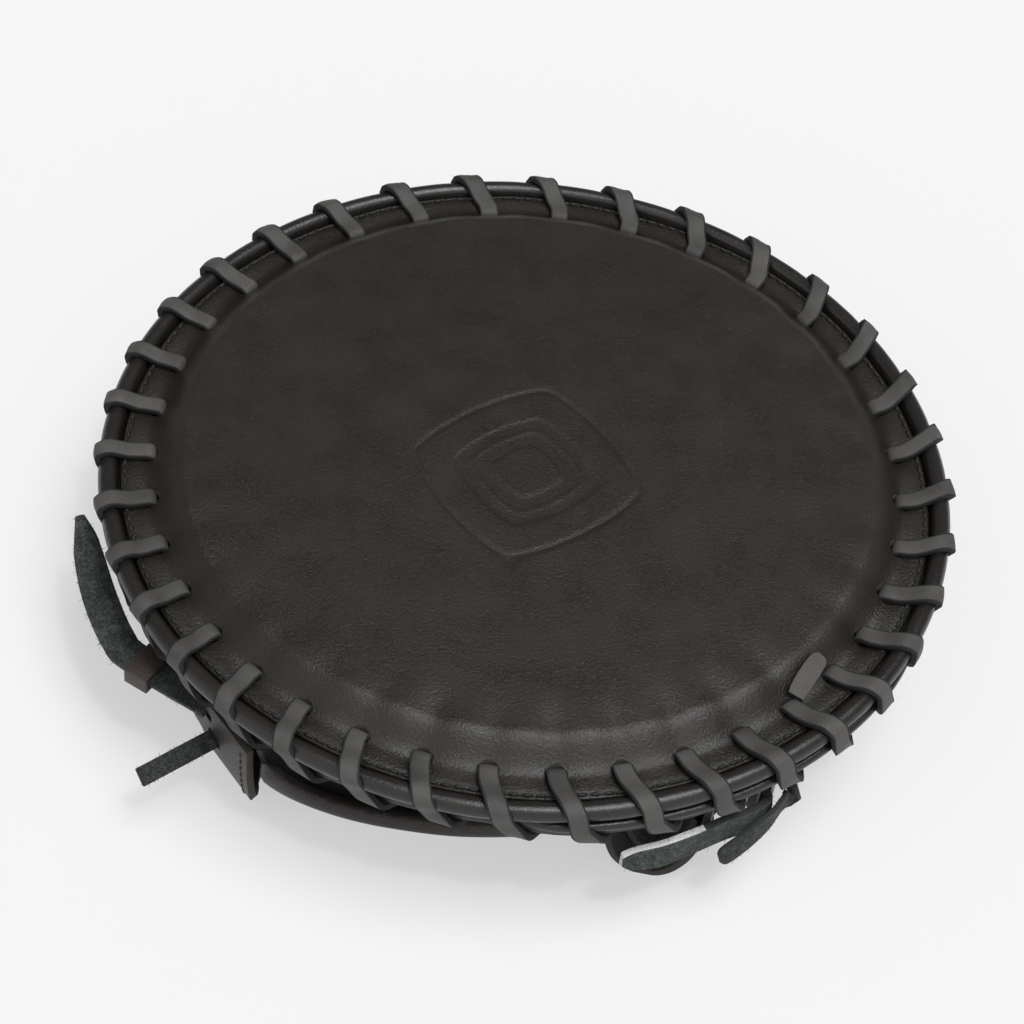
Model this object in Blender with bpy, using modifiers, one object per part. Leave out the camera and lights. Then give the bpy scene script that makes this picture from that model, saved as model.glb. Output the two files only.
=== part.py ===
"""A round, flat leather fielding trainer, lying face up on its hand side.

The pad is a stack of discs: a crowned face, felt, a stiff board and a back, with two folded
welts between the two leathers at the rim. One flat lace whips the whole rim together. Below
the pad are a palm panel, a thumb stall, a little finger stall, a sleeve for the three middle
fingers and a padded band over the back of the wrist, with the strap ends that adjust them.

Metres, +Z up and through the face, +Y towards the fingertips. The origin is on the surface
that the trainer lies on, under the pad's centre.
"""

import math

import bmesh
import bpy
from mathutils import Matrix, Vector

# Pad
PAD_RADIUS = 0.127
RIM_HEIGHT = 0.045
HOLE_INSET = 0.015
FACE_LEATHER = 0.0026
BACK_LEATHER = 0.0027
PALM_LEATHER = 0.0020
BOARD = 0.0016
CROWN = 0.0080
CROWN_POWER = 6
FLAT_RADIUS = 0.020
FACE_WELT_ROLL = 0.0029
BACK_WELT_PLY = 0.0031
FLANGE = 0.0009
FLANGE_WIDTH = 0.0108
GAP = 0.0003
TRIM = 0.0020
ROUND_STEPS = 60

# Rim lace
LACE_WIDTH = 0.0056
LACE_THICKNESS = 0.0014
LACE_TURNS = 36
LACE_CLEARANCE = 0.0003
FIRST_HOLE = math.radians(124.3)
HOLE_DRIFT = ((math.radians(6.6), 1, math.radians(31)), (math.radians(1.8), 2, math.radians(64)))
LACE_SLANT = math.radians(3.8)
SLANT_DRIFT = ((math.radians(2.1), 1, math.radians(-46)), (math.radians(1.6), 2, math.radians(137)))
LACE_END_TURN = 20
LACE_END_SHARE = 0.93

# Stalls for the thumb and the little finger
THUMB_HALF_WIDTH = 0.0170
THUMB_LENGTH = 0.043
THUMB_BEARING = math.radians(135)
LITTLE_FINGER_HALF_WIDTH = 0.0155
LITTLE_FINGER_LENGTH = 0.060
LITTLE_FINGER_BEARING = math.radians(78)
HEEL = -PAD_RADIUS + 0.0255
STALL_TO_BAND = 0.0020
STALL_SQUARE = 2.3
STALL_LEATHER = 0.0022
LOOP_LEATHER = 0.0018
LOOP_CLEARANCE = 0.0012
LOOP_WIDTH = 0.015

# Sleeve for the three middle fingers
SLEEVE_HALF_WIDTH = 0.044
SLEEVE_MOUTH_Y = 0.005
SLEEVE_LENGTH = 0.060
SLEEVE_LEATHER = 0.0024
SLEEVE_LINING = 0.0012

# Band over the back of the wrist
BAND_CENTRE = -0.0095
BAND_HALF_WIDTH = 0.047
BAND_SKEW = 0.08
BAND_WIDTH = 0.040
BAND_LEATHER = 0.0022
BAND_PADDING = 0.0050
BAND_LINING = 0.0012
BAND_LIFT = 0.0005
PIPING_RADIUS = 0.0031

# Strap ends, keepers and tie laces
STRAP_WIDTH = 0.0098
STRAP_LEATHER = 0.0020
KEEPER_LEATHER = 0.0013
KEEPER_LENGTH = 0.0080
SLOT_CLEARANCE = 0.0006
SLOT_LENGTH = 0.020
THUMB_STRAP_BEARING = math.radians(157)
LITTLE_FINGER_STRAP_BEARING = math.radians(-54.236)
TIE_WIDTH = 0.0056
TIE_THICKNESS = 0.0015

# Heights of the layers, from the palm side up
HOLE_RING = PAD_RADIUS - HOLE_INSET
HOLE_RADIUS = math.hypot(LACE_WIDTH, LACE_THICKNESS) / 2 + LACE_CLEARANCE
BACK_TOP = RIM_HEIGHT - 0.0037
BACK_BOTTOM = BACK_TOP - BACK_LEATHER
PALM_TOP = BACK_BOTTOM - GAP
PALM_BOTTOM = PALM_TOP - PALM_LEATHER
WELT_BOTTOM = BACK_TOP + GAP
WELT_TOP = WELT_BOTTOM + BACK_WELT_PLY
FLANGE_BOTTOM = WELT_TOP + GAP
FLANGE_TOP = FLANGE_BOTTOM + FLANGE
FACE_EDGE_BOTTOM = FLANGE_TOP + GAP
FACE_EDGE_TOP = FACE_EDGE_BOTTOM + FACE_LEATHER
ROLL_CENTRE_R = PAD_RADIUS - 0.0033
ROLL_CENTRE_Z = FLANGE_BOTTOM + FACE_WELT_ROLL
FACE_RADIUS = ROLL_CENTRE_R - FACE_WELT_ROLL - 0.0006
BACK_RADIUS = PAD_RADIUS - 0.0016
FLANGE_INNER = ROLL_CENTRE_R + 0.0033 - FLANGE_WIDTH
FILL_RADIUS = HOLE_RING - HOLE_RADIUS - GAP
PALM_RADIUS = FILL_RADIUS - 0.0003
HANG_TOP = PALM_BOTTOM - GAP

# Each stall: the middle of its mouth, the way outwards along a section, its run, half width and length
THUMB_MOUTH = Vector((BAND_CENTRE - BAND_HALF_WIDTH - STALL_TO_BAND, HEEL + 0.0065, 0))
LITTLE_FINGER_MOUTH = Vector(
    (BAND_CENTRE + BAND_HALF_WIDTH + STALL_TO_BAND + LITTLE_FINGER_HALF_WIDTH, HEEL, 0)
)
THUMB_RUN = Vector((math.cos(THUMB_BEARING), math.sin(THUMB_BEARING), 0))
LITTLE_FINGER_RUN = Vector((math.cos(LITTLE_FINGER_BEARING), math.sin(LITTLE_FINGER_BEARING), 0))
STALLS = {
    "thumb": (THUMB_MOUTH, Vector((0, -1, 0)), THUMB_RUN, THUMB_HALF_WIDTH, THUMB_LENGTH),
    "little_finger": (
        LITTLE_FINGER_MOUTH, Vector((1, 0, 0)), LITTLE_FINGER_RUN,
        LITTLE_FINGER_HALF_WIDTH, LITTLE_FINGER_LENGTH,
    ),
}
STALL_TAPER = ((0, 1, 1), (0.24, 1, 1), (0.46, 1, 1), (0.68, 0.93, 0.88), (0.86, 0.82, 0.66), (1, 0.66, 0.38))

LEATHERS = {
    "face_leather": ((0.020, 0.017, 0.015, 1), 0.45),
    "welt_leather": ((0.017, 0.015, 0.014, 1), 0.40),
    "lace_leather": ((0.030, 0.031, 0.032, 1), 0.60),
    "hand_leather": ((0.022, 0.018, 0.016, 1), 0.50),
    "suede": ((0.045, 0.050, 0.052, 1), 0.95),
    "felt": ((0.32, 0.31, 0.29, 1), 0.95),
    "board": ((0.16, 0.12, 0.08, 1), 0.80),
    "lining": ((0.035, 0.033, 0.032, 1), 0.85),
}


def clear_scene():
    for obj in list(bpy.data.objects):
        bpy.data.objects.remove(obj, do_unlink=True)


def collection(name):
    made = bpy.data.collections.new(name)
    bpy.context.scene.collection.children.link(made)
    return made


def material(name):
    if name in bpy.data.materials:
        return bpy.data.materials[name]
    colour, roughness = LEATHERS[name]
    made = bpy.data.materials.new(name)
    made.use_nodes = True
    shader = made.node_tree.nodes["Principled BSDF"]
    shader.inputs["Base Color"].default_value = colour
    shader.inputs["Roughness"].default_value = roughness
    return made


def add_object(name, bm, finish):
    mesh = bpy.data.meshes.new(name)
    bm.to_mesh(mesh)
    bm.free()
    obj = bpy.data.objects.new(name, mesh)
    if finish:
        mesh.materials.append(material(finish))
        PARTS.objects.link(obj)
        mesh.shade_smooth()
        mesh.set_sharp_from_angle(angle=math.radians(40))
    else:
        obj.hide_render = True
        obj.display_type = "WIRE"
        CUTTERS.objects.link(obj)
    return obj


def cut(obj, cutter):
    modifier = obj.modifiers.new("cut", "BOOLEAN")
    modifier.operation = "DIFFERENCE"
    modifier.object = cutter


def arc(centre_r, centre_z, radius, start, end, count):
    """Points on an arc of a section, from one angle in degrees to the other."""
    angles = [math.radians(start + (end - start) * i / count) for i in range(count + 1)]
    return [(centre_r + radius * math.cos(a), centre_z + radius * math.sin(a)) for a in angles]


def turned(name, profile, finish, closed):
    """A profile of (radius, height) points turned about the pad's axis."""
    bm = bmesh.new()
    verts = [bm.verts.new((r, 0, z)) for r, z in profile]
    for a, b in zip(verts, verts[1:]):
        bm.edges.new((a, b))
    if closed:
        bm.edges.new((verts[-1], verts[0]))
    obj = add_object(name, bm, finish)
    screw = obj.modifiers.new("turn", "SCREW")
    screw.steps = ROUND_STEPS
    screw.render_steps = ROUND_STEPS
    screw.use_merge_vertices = True
    screw.merge_threshold = 0.00005
    return obj


def sheet(name, rows, thickness, finish):
    """A leather piece: an open surface through rows of points, given its thickness inward."""
    bm = bmesh.new()
    grid = [[bm.verts.new(point) for point in row] for row in rows]
    for near, far in zip(grid, grid[1:]):
        for i in range(len(near) - 1):
            bm.faces.new((near[i], near[i + 1], far[i + 1], far[i]))
    obj = add_object(name, bm, finish)
    solid = obj.modifiers.new("leather", "SOLIDIFY")
    solid.thickness = thickness
    return obj


def oriented_box(name, centre, along, across, size, finish=None):
    """A box with its length along one direction and its width across it."""
    x = Vector(along).normalized()
    z = x.cross(Vector(across)).normalized()
    y = z.cross(x)
    turn = Matrix((x, y, z)).transposed().to_4x4()
    bm = bmesh.new()
    bmesh.ops.create_cube(bm, size=1.0, matrix=Matrix.Diagonal((*size, 1)))
    bmesh.ops.transform(bm, matrix=Matrix.Translation(centre) @ turn, verts=bm.verts)
    return add_object(name, bm, finish)


# Pad


def face_height(radius):
    """The height of the face's outer side: a nearly flat crown with soft shoulders."""
    if radius <= FLAT_RADIUS:
        return FACE_EDGE_TOP + CROWN
    return FACE_EDGE_TOP + CROWN * max(0, 1 - (radius / HOLE_RING) ** CROWN_POWER)


def crown_radii(outer):
    shoulder = [outer * share for share in (0.62, 0.78, 0.88, 0.95)]
    return [0, FLAT_RADIUS, *shoulder, outer]


def drift(terms, turn):
    return sum(size * math.sin(order * turn + phase) for size, order, phase in terms)


def hole_angle(turn):
    along = 2 * math.pi * turn / LACE_TURNS
    return FIRST_HOLE + along + drift(HOLE_DRIFT, along)


def lace_slant(angle):
    return LACE_SLANT + drift(SLANT_DRIFT, angle + math.pi / 2)


def at(radius, angle, height):
    return Vector((radius * math.cos(angle), radius * math.sin(angle), height))


def hole_cutter():
    sides = 8
    bm = bmesh.new()
    for turn in range(LACE_TURNS):
        spot = at(HOLE_RING, hole_angle(turn), RIM_HEIGHT)
        place = Matrix.Translation(spot) @ Matrix.Rotation(hole_angle(turn), 4, "Z")
        bmesh.ops.create_cone(
            bm,
            cap_ends=True,
            segments=sides,
            radius1=HOLE_RADIUS / math.cos(math.pi / sides),
            radius2=HOLE_RADIUS / math.cos(math.pi / sides),
            depth=4 * CROWN,
            matrix=place,
        )
    return add_object("hole_cutter", bm, None)


def make_pad():
    holes = hole_cutter()
    radii = crown_radii(HOLE_RING)
    top = [(r, face_height(r)) for r in radii] + [(FACE_RADIUS, FACE_EDGE_TOP)]
    bottom = [(r, z - FACE_LEATHER) for r, z in reversed(top)]
    cut(turned("face_panel", top + bottom, "face_leather", False), holes)

    board_bottom = BACK_TOP + GAP
    board_top = board_bottom + BOARD
    felt_top = [(r, face_height(r) - FACE_LEATHER - GAP) for r in crown_radii(FILL_RADIUS)]
    felt_bottom = [(FILL_RADIUS, board_top + GAP), (0, board_top + GAP)]
    turned("felt_pad", felt_top + felt_bottom, "felt", False)
    board = [(0, board_top), (FILL_RADIUS, board_top), (FILL_RADIUS, board_bottom), (0, board_bottom)]
    turned("stiffener_board", board, "board", False)

    edge = 0.0005
    back = [
        (0, BACK_TOP),
        (BACK_RADIUS - edge, BACK_TOP),
        (BACK_RADIUS, BACK_TOP - edge),
        (BACK_RADIUS, BACK_BOTTOM + edge),
        (BACK_RADIUS - edge, BACK_BOTTOM),
        (0, BACK_BOTTOM),
    ]
    cut(turned("back_panel", back, "hand_leather", False), holes)
    palm = [(0, PALM_TOP), (PALM_RADIUS, PALM_TOP), (PALM_RADIUS, PALM_BOTTOM), (0, PALM_BOTTOM)]
    turned("palm_panel", palm, "lining", False)


def make_welts():
    """Two folded strips: their folds stand out as rolls, and their plies lie between the leathers."""
    meet = math.degrees(math.asin(FLANGE / FACE_WELT_ROLL - 1))
    roll = arc(ROLL_CENTRE_R, ROLL_CENTRE_Z, FACE_WELT_ROLL, 90, -90, 4)
    inner = arc(ROLL_CENTRE_R, ROLL_CENTRE_Z, FACE_WELT_ROLL, 180 - meet, 90, 3)[:-1]
    flange = [(FLANGE_INNER, FLANGE_BOTTOM), (FLANGE_INNER, FLANGE_TOP)]
    turned("face_welt", roll + flange + inner, "welt_leather", True)
    nose = BACK_WELT_PLY / 2
    fold = arc(PAD_RADIUS - nose, WELT_BOTTOM + nose, nose, 90, -90, 4)
    plies = [(FLANGE_INNER, WELT_BOTTOM), (FLANGE_INNER, WELT_TOP)]
    turned("back_welt", fold + plies, "welt_leather", True)


def lace_route():
    """One turn of the lace as (radius, height, normal's angle, share of the slant, share of the return)."""
    clear = LACE_CLEARANCE + LACE_THICKNESS / 2
    top = FACE_EDGE_TOP + clear
    under = BACK_BOTTOM - clear
    roll = FACE_WELT_ROLL + clear + 1.5 * GAP
    route = [
        (HOLE_RING, RIM_HEIGHT, 180, 0, 0),
        (HOLE_RING, FACE_EDGE_TOP - 0.0002, 180, 0, 0),
        (HOLE_RING + 0.0006, top - 0.0002, 130, 0, 0),
        (HOLE_RING + 0.0024, top + 0.0001, 95, 0.1, 0),
        (FACE_RADIUS - 0.0022, top + 0.0001, 100, 0.38, 0),
    ]
    for bend, share in ((100, 0.58), (62, 0.74), (30, 0.86)):
        (r, z), _ = arc(ROLL_CENTRE_R, ROLL_CENTRE_Z, roll, bend, bend, 1)
        route.append((r, z, bend, share, 0))
    outer = PAD_RADIUS + clear
    route += [
        (outer, WELT_TOP, 0, 0.96, 0),
        (outer - 0.0002, WELT_BOTTOM, -10, 1, 0.03),
        (BACK_RADIUS + 0.0016, BACK_BOTTOM + 0.0001, -35, 1, 0.10),
        (BACK_RADIUS + 0.0002, under - 0.0003, -65, 1, 0.18),
        (BACK_RADIUS - 0.0024, under - 0.0001, -88, 1, 0.32),
        (HOLE_RING + 0.0024, under, -95, 1, 0.93),
        (HOLE_RING + 0.0006, under + 0.0003, -135, 1, 1),
    ]
    return route


def ribbon(name, stations, thickness, finish):
    """A flat strip through stations of (centre, face normal, width), thickened to both sides."""
    rows = []
    centres = [Vector(centre) for centre, _, _ in stations]
    for i, (_, normal, width) in enumerate(stations):
        ahead = centres[min(i + 1, len(centres) - 1)] - centres[max(i - 1, 0)]
        across = ahead.cross(Vector(normal)).normalized() * width / 2
        rows.append((centres[i] - across, centres[i] + across))
    obj = sheet(name, rows, thickness, finish)
    obj.modifiers["leather"].offset = 0
    return obj


def make_rim_lace():
    stations = []
    for turn in range(LACE_TURNS):
        start = hole_angle(turn)
        slant = lace_slant(start)
        back = hole_angle(turn + 1) - start - slant
        for r, z, tilt, out, home in lace_route():
            angle = start + slant * out + back * home
            lean = math.radians(tilt)
            normal = at(math.cos(lean), angle, math.sin(lean))
            stations.append((at(r, angle, z), normal, LACE_WIDTH))
    ribbon("rim_lace", stations, LACE_THICKNESS, "lace_leather")


def make_rim_lace_end():
    """The lace's end lies on the face from beside one hole towards the next, cut to a blunt point."""
    near, far = hole_angle(LACE_END_TURN), hole_angle(LACE_END_TURN + 1)
    middle = (near + far) / 2
    stations = []
    places = ((-0.42, 0.0003, 0.8), (-0.25, 0.0007, 1), (0.2, 0.0021, 1), (0.5, 0.0026, 0.45))
    for share, inward, width in places:
        angle = middle + (far - near) * LACE_END_SHARE * share
        radius = HOLE_RING - 0.0012 - inward
        height = face_height(radius - LACE_WIDTH / 2) + GAP + LACE_THICKNESS / 2
        stations.append((at(radius, angle, height), at(0.12, angle, 1), LACE_WIDTH * width))
    ribbon("rim_lace_end", stations, LACE_THICKNESS, "lace_leather")


# Hand side


def arch(half_width, depth, start, end, count, square=2.0):
    """Points (across, down) of a hanging arch, between two angles in degrees, 180 being the left top.

    An odd count puts a level strip at the bottom. A leg that reaches the top runs past it, to be trimmed.
    """
    angles = [math.radians(start + (end - start) * i / count) for i in range(count + 1)]
    lowest = max(math.sin(a) for a in angles) ** (2 / square)
    points = []
    for a in angles:
        across = math.copysign(abs(math.cos(a)) ** (2 / square), math.cos(a)) * half_width
        points.append((across, depth * abs(math.sin(a)) ** (2 / square) / lowest))
    if start == 180:
        points.insert(0, (points[0][0], -TRIM))
    if end == 0:
        points.append((points[-1][0], -TRIM))
    return points


def stall_row(stall, along, wide, deep, inset, start=180.0, end=0.0, count=11):
    """One section of a stall, some way along it, with the inset taken square to its outer side."""
    middle, outward, run, half_width, _ = STALLS[stall]
    reach = half_width * wide - inset / outward.cross(run).length
    row = []
    for across, down in arch(reach, HANG_TOP * deep - inset, start, end, count, STALL_SQUARE):
        row.append(middle + run * along + outward * across + Vector((0, 0, HANG_TOP - down)))
    return row if stall == "thumb" else row[::-1]


def stall_wall(stall, share, height):
    """A place on the outside of a stall's outer wall, at a share of its length and a height."""
    middle, outward, run, half_width, length = STALLS[stall]
    (start, wide, deep), (stop, next_wide, next_deep) = next(
        pair for pair in zip(STALL_TAPER, STALL_TAPER[1:]) if share <= pair[1][0]
    )
    way = (share - start) / (stop - start)
    depth = HANG_TOP * (deep + (next_deep - deep) * way)
    full = (1 - ((HANG_TOP - height) / depth) ** STALL_SQUARE) ** (1 / STALL_SQUARE)
    across = half_width * (wide + (next_wide - wide) * way) * full
    return middle + run * length * share + outward * across + Vector((0, 0, height))


def make_stall(stall, above):
    length = STALLS[stall][-1]
    rows = [stall_row(stall, length * share, wide, deep, 0) for share, wide, deep in STALL_TAPER]
    made = sheet(stall + "_stall", rows, STALL_LEATHER, "hand_leather")
    cut(made, above)
    return made


def make_loop(stall, above):
    """The inner strap that tightens on the finger: it follows the stall's inside, up to its outer wall."""
    inset = STALL_LEATHER + LOOP_CLEARANCE
    rows = [stall_row(stall, along, 1, 1, inset, 180, 22, 10) for along in (0.006, 0.006 + LOOP_WIDTH)]
    cut(sheet(stall + "_loop", rows, LOOP_LEATHER, "suede"), above)


def make_sleeve(above):
    sections = [(0, 1, 1), (0.22, 1, 1), (0.44, 1, 1), (0.66, 0.96, 0.92), (0.86, 0.88, 0.72)]
    sections.append((1, 0.72, 0.42))
    for name, inset, thickness, finish, used in (
        ("finger_sleeve", 0, SLEEVE_LEATHER, "hand_leather", sections),
        ("finger_sleeve_lining", SLEEVE_LEATHER + GAP * 3, SLEEVE_LINING, "lining", sections[:4]),
    ):
        rows = []
        for share, wide, deep in used:
            y = SLEEVE_MOUTH_Y + SLEEVE_LENGTH * share
            half_width = SLEEVE_HALF_WIDTH * wide - inset
            section = arch(half_width, HANG_TOP * deep - inset, 180, 0, 13, 2.5)
            rows.append([(across, y, HANG_TOP - down) for across, down in reversed(section)])
        cut(sheet(name, rows, thickness, finish), above)


def band_row(edge_y, sweep, inset, start, end, count):
    """One section of the wrist band, whose ends sweep towards the heel as they rise."""
    depth = HANG_TOP - BAND_LIFT
    row = []
    for across, down in arch(BAND_HALF_WIDTH - inset, depth - inset, start, end, count):
        y = edge_y - sweep * (1 - down / depth) + across * BAND_SKEW
        row.append((BAND_CENTRE + across, y, HANG_TOP - down))
    return row[::-1]


def make_wrist_band(above):
    heel = HEEL + 2 * PIPING_RADIUS - 0.001
    sweep = 0.010
    band = [band_row(heel + BAND_WIDTH * s, sweep * (1 - s), 0, 180, 0, 15) for s in (0, 0.5, 1)]
    cut(sheet("wrist_band", band, BAND_LEATHER, "hand_leather"), above)

    piping = bpy.data.curves.new("wrist_band_piping", "CURVE")
    piping.dimensions = "3D"
    piping.bevel_depth = PIPING_RADIUS
    piping.bevel_resolution = 2
    piping.use_fill_caps = True
    route = band_row(heel - PIPING_RADIUS - GAP, sweep, PIPING_RADIUS, 176, 4, 18)
    spline = piping.splines.new("POLY")
    spline.points.add(len(route) - 1)
    for point, place in zip(spline.points, route):
        point.co = (*place, 1)
    piping.materials.append(material("hand_leather"))
    PARTS.objects.link(bpy.data.objects.new("wrist_band_piping", piping))

    inset = BAND_LEATHER + GAP * 2
    for name, thickness, finish, end in (
        ("wrist_padding", BAND_PADDING, "felt", 32),
        ("wrist_lining", BAND_LINING, "lining", 28),
    ):
        rows = [band_row(heel + y, 0, inset, 180 - end, end, 11) for y in (0.003, BAND_WIDTH - 0.003)]
        sheet(name, rows, thickness, finish)
        inset += thickness + GAP * 2


def beyond_rim(outward, degrees, height):
    """A place a little outside the pad's edge."""
    return at(PAD_RADIUS + outward, math.radians(degrees), height)


def level_run(bearing):
    return at(1, bearing, 0)


def make_keeper(name, centre, run, across, width, length):
    """A short leather loop that the strap end slides through."""
    opening = Vector((width, STRAP_LEATHER)) + Vector((2, 2)) * SLOT_CLEARANCE
    outer = opening + Vector((2, 2)) * KEEPER_LEATHER
    keeper = oriented_box(name, centre, run, across, (length, *outer), "hand_leather")
    cut(keeper, oriented_box(name + "_cutter", centre, run, across, (length * 1.5, *opening)))


def cut_slot(stall, name, centre, run, across, width, thickness):
    """A slot through a stall's outer wall, in line with the leather that passes through it."""
    size = (SLOT_LENGTH, width + 2 * SLOT_CLEARANCE, thickness + 2 * SLOT_CLEARANCE)
    cut(stall, oriented_box(name, centre, run, across, size))


def make_thumb_strap(stall):
    """The thumb's strap end lies flat, passes its keeper and curls up outside the rim."""
    height = HANG_TOP - 0.0060
    slot = stall_wall("thumb", 0.68, height)
    keeper_at = 0.0155
    run = level_run(THUMB_STRAP_BEARING)
    across = Vector((0, 0, 1)).cross(run)
    up = (0, 0, 1)
    bend = keeper_at + KEEPER_LENGTH / 2 + 0.001
    stations = [
        (slot - run * 0.0070, up, STRAP_WIDTH),
        (slot + run * bend, up, STRAP_WIDTH),
        (beyond_rim(0.0029, -143.9, height + 0.0005), (-0.05, 0, 1), STRAP_WIDTH),
        (beyond_rim(0.0033, -150.2, height + 0.0015), (-0.08, 0, 1), STRAP_WIDTH * 0.96),
        (beyond_rim(0.0036, -156.4, height + 0.0030), (-0.15, 0.1, 1), STRAP_WIDTH * 0.84),
        (beyond_rim(0.0038, -159.6, height + 0.0045), (-0.20, 0.2, 1), STRAP_WIDTH * 0.66),
        (beyond_rim(0.0052, -162.6, height + 0.0060), (-0.20, 0.3, 1), STRAP_WIDTH * 0.16),
    ]
    ribbon("thumb_strap_end", stations, STRAP_LEATHER, "suede")
    make_keeper("thumb_keeper", slot + run * keeper_at, run, across, STRAP_WIDTH, KEEPER_LENGTH)
    cut_slot(stall, "thumb_slot_cutter", slot, run, across, STRAP_WIDTH, STRAP_LEATHER)


def make_little_finger_strap(stall):
    """The little finger's strap end stands on edge and turns forward, outside the stall's mouth."""
    height = HANG_TOP - 0.0080
    slot = stall_wall("little_finger", 0.44, height)
    keeper_at = 0.0130
    length = KEEPER_LENGTH * 0.5
    run = level_run(LITTLE_FINGER_STRAP_BEARING)
    up = Vector((0, 0, 1))
    bend = keeper_at + length / 2 + 0.001
    stations = [
        (slot - run * 0.0070, up.cross(run), STRAP_WIDTH),
        (slot + run * bend, up.cross(run), STRAP_WIDTH),
        (beyond_rim(-0.0022, -47.6, height), (-1.0, -0.1, 0), STRAP_WIDTH),
        (beyond_rim(-0.0018, -50.2, height), (-0.85, 0.4, 0), STRAP_WIDTH),
        (beyond_rim(-0.0022, -53.2, height), (-0.66, 0.75, 0), STRAP_WIDTH),
        (beyond_rim(-0.0012, -57.6, height + 0.0004), (-0.64, 0.77, 0), STRAP_WIDTH),
        (beyond_rim(0.0004, -62.6, height + 0.0006), (-0.6, 0.8, -0.1), STRAP_WIDTH * 0.94),
        (beyond_rim(0.0008, -66.3, height + 0.0012), (-0.55, 0.8, -0.2), STRAP_WIDTH * 0.70),
        (beyond_rim(0.0010, -67.9, height + 0.0016), (-0.5, 0.8, -0.2), STRAP_WIDTH * 0.40),
    ]
    ribbon("little_finger_strap_end", stations, STRAP_LEATHER, "suede")
    make_keeper("little_finger_keeper", slot + run * keeper_at, run, up, STRAP_WIDTH, length)
    cut_slot(stall, "little_finger_slot_cutter", slot, run, up, STRAP_WIDTH, STRAP_LEATHER)


def make_tie_laces(thumb_stall, little_finger_stall):
    """The narrow laces that tie the loops: each comes out through its stall's wall and ends in the air."""
    half_wall = STALL_LEATHER / 2
    hole = stall_wall("thumb", 0.40, HANG_TOP - 0.0145) - STALLS["thumb"][1] * half_wall
    run = Vector((-0.70, -0.71, -0.05)).normalized()
    flat = (-0.75, 0.55, -0.9)
    stations = [(hole + run * along, flat, TIE_WIDTH) for along in (0.0006, 0.0125, 0.0250)]
    ribbon("thumb_tie_lace", stations, TIE_THICKNESS, "suede")
    cut_slot(thumb_stall, "thumb_tie_cutter", hole, run, run.cross(Vector(flat)), TIE_WIDTH, TIE_THICKNESS)

    height = HANG_TOP - 0.0060
    hole = stall_wall("little_finger", 0.60, height) - STALLS["little_finger"][1] * half_wall
    run = level_run(LITTLE_FINGER_STRAP_BEARING)
    flat = Vector((0, 0, 1)).cross(run)
    stations = [
        (hole + run * 0.0006, flat, TIE_WIDTH),
        (beyond_rim(-0.0030, -42.6, height + 0.0015), flat, TIE_WIDTH),
        (beyond_rim(0.0000, -45.4, height), (-0.95, -0.1, -0.2), TIE_WIDTH),
        (beyond_rim(0.0014, -48.2, height - 0.0030), (-0.85, 0.4, -0.3), TIE_WIDTH),
        (beyond_rim(0.0024, -51.3, height - 0.0056), (-0.70, 0.6, -0.4), TIE_WIDTH),
        (beyond_rim(0.0036, -54.3, height - 0.0068), (-0.62, 0.6, -0.5), TIE_WIDTH * 0.92),
        (beyond_rim(0.0039, -55.1, height - 0.0070), (-0.60, 0.6, -0.5), TIE_WIDTH * 0.5),
    ]
    ribbon("little_finger_tie_lace", stations, TIE_THICKNESS, "suede")
    cut_slot(
        little_finger_stall, "little_finger_tie_cutter", hole, run, (0, 0, 1), TIE_WIDTH, TIE_THICKNESS
    )


clear_scene()
PARTS = collection("fielding_trainer")
CUTTERS = collection("cutters")
make_pad()
make_welts()
make_rim_lace()
make_rim_lace_end()
trim_centre = (0, 0, HANG_TOP + TRIM * 2)
above_hand_side = oriented_box("above_hand_side", trim_centre, (1, 0, 0), (0, 1, 0), (1, 1, TRIM * 4))
thumb_stall = make_stall("thumb", above_hand_side)
little_finger_stall = make_stall("little_finger", above_hand_side)
make_loop("thumb", above_hand_side)
make_loop("little_finger", above_hand_side)
make_sleeve(above_hand_side)
make_wrist_band(above_hand_side)
make_thumb_strap(thumb_stall)
make_little_finger_strap(little_finger_stall)
make_tie_laces(thumb_stall, little_finger_stall)
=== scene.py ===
"""A round, flat leather fielding trainer, face up on its hand side, on a pale floor.

Metres, +Z up through the face, +Y towards the fingertips, +X towards the little finger.
"""

import math
import random

import bpy
from mathutils import Matrix, Vector, noise


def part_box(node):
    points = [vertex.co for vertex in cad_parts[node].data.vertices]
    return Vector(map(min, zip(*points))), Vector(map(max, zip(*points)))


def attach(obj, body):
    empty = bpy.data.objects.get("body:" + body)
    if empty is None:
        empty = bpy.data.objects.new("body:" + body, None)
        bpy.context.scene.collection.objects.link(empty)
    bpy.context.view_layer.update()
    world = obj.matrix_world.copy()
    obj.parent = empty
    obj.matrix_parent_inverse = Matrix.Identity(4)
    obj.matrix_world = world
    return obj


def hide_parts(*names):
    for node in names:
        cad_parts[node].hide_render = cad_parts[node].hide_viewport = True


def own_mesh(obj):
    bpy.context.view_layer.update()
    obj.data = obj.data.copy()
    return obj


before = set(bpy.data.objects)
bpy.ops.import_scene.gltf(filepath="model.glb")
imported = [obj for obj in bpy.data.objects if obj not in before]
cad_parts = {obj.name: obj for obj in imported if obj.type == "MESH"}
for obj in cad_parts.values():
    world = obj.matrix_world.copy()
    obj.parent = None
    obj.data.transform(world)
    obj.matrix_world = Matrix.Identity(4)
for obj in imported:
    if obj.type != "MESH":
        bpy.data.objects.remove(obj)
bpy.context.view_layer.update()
bpy.ops.object.select_all(action="DESELECT")


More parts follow.
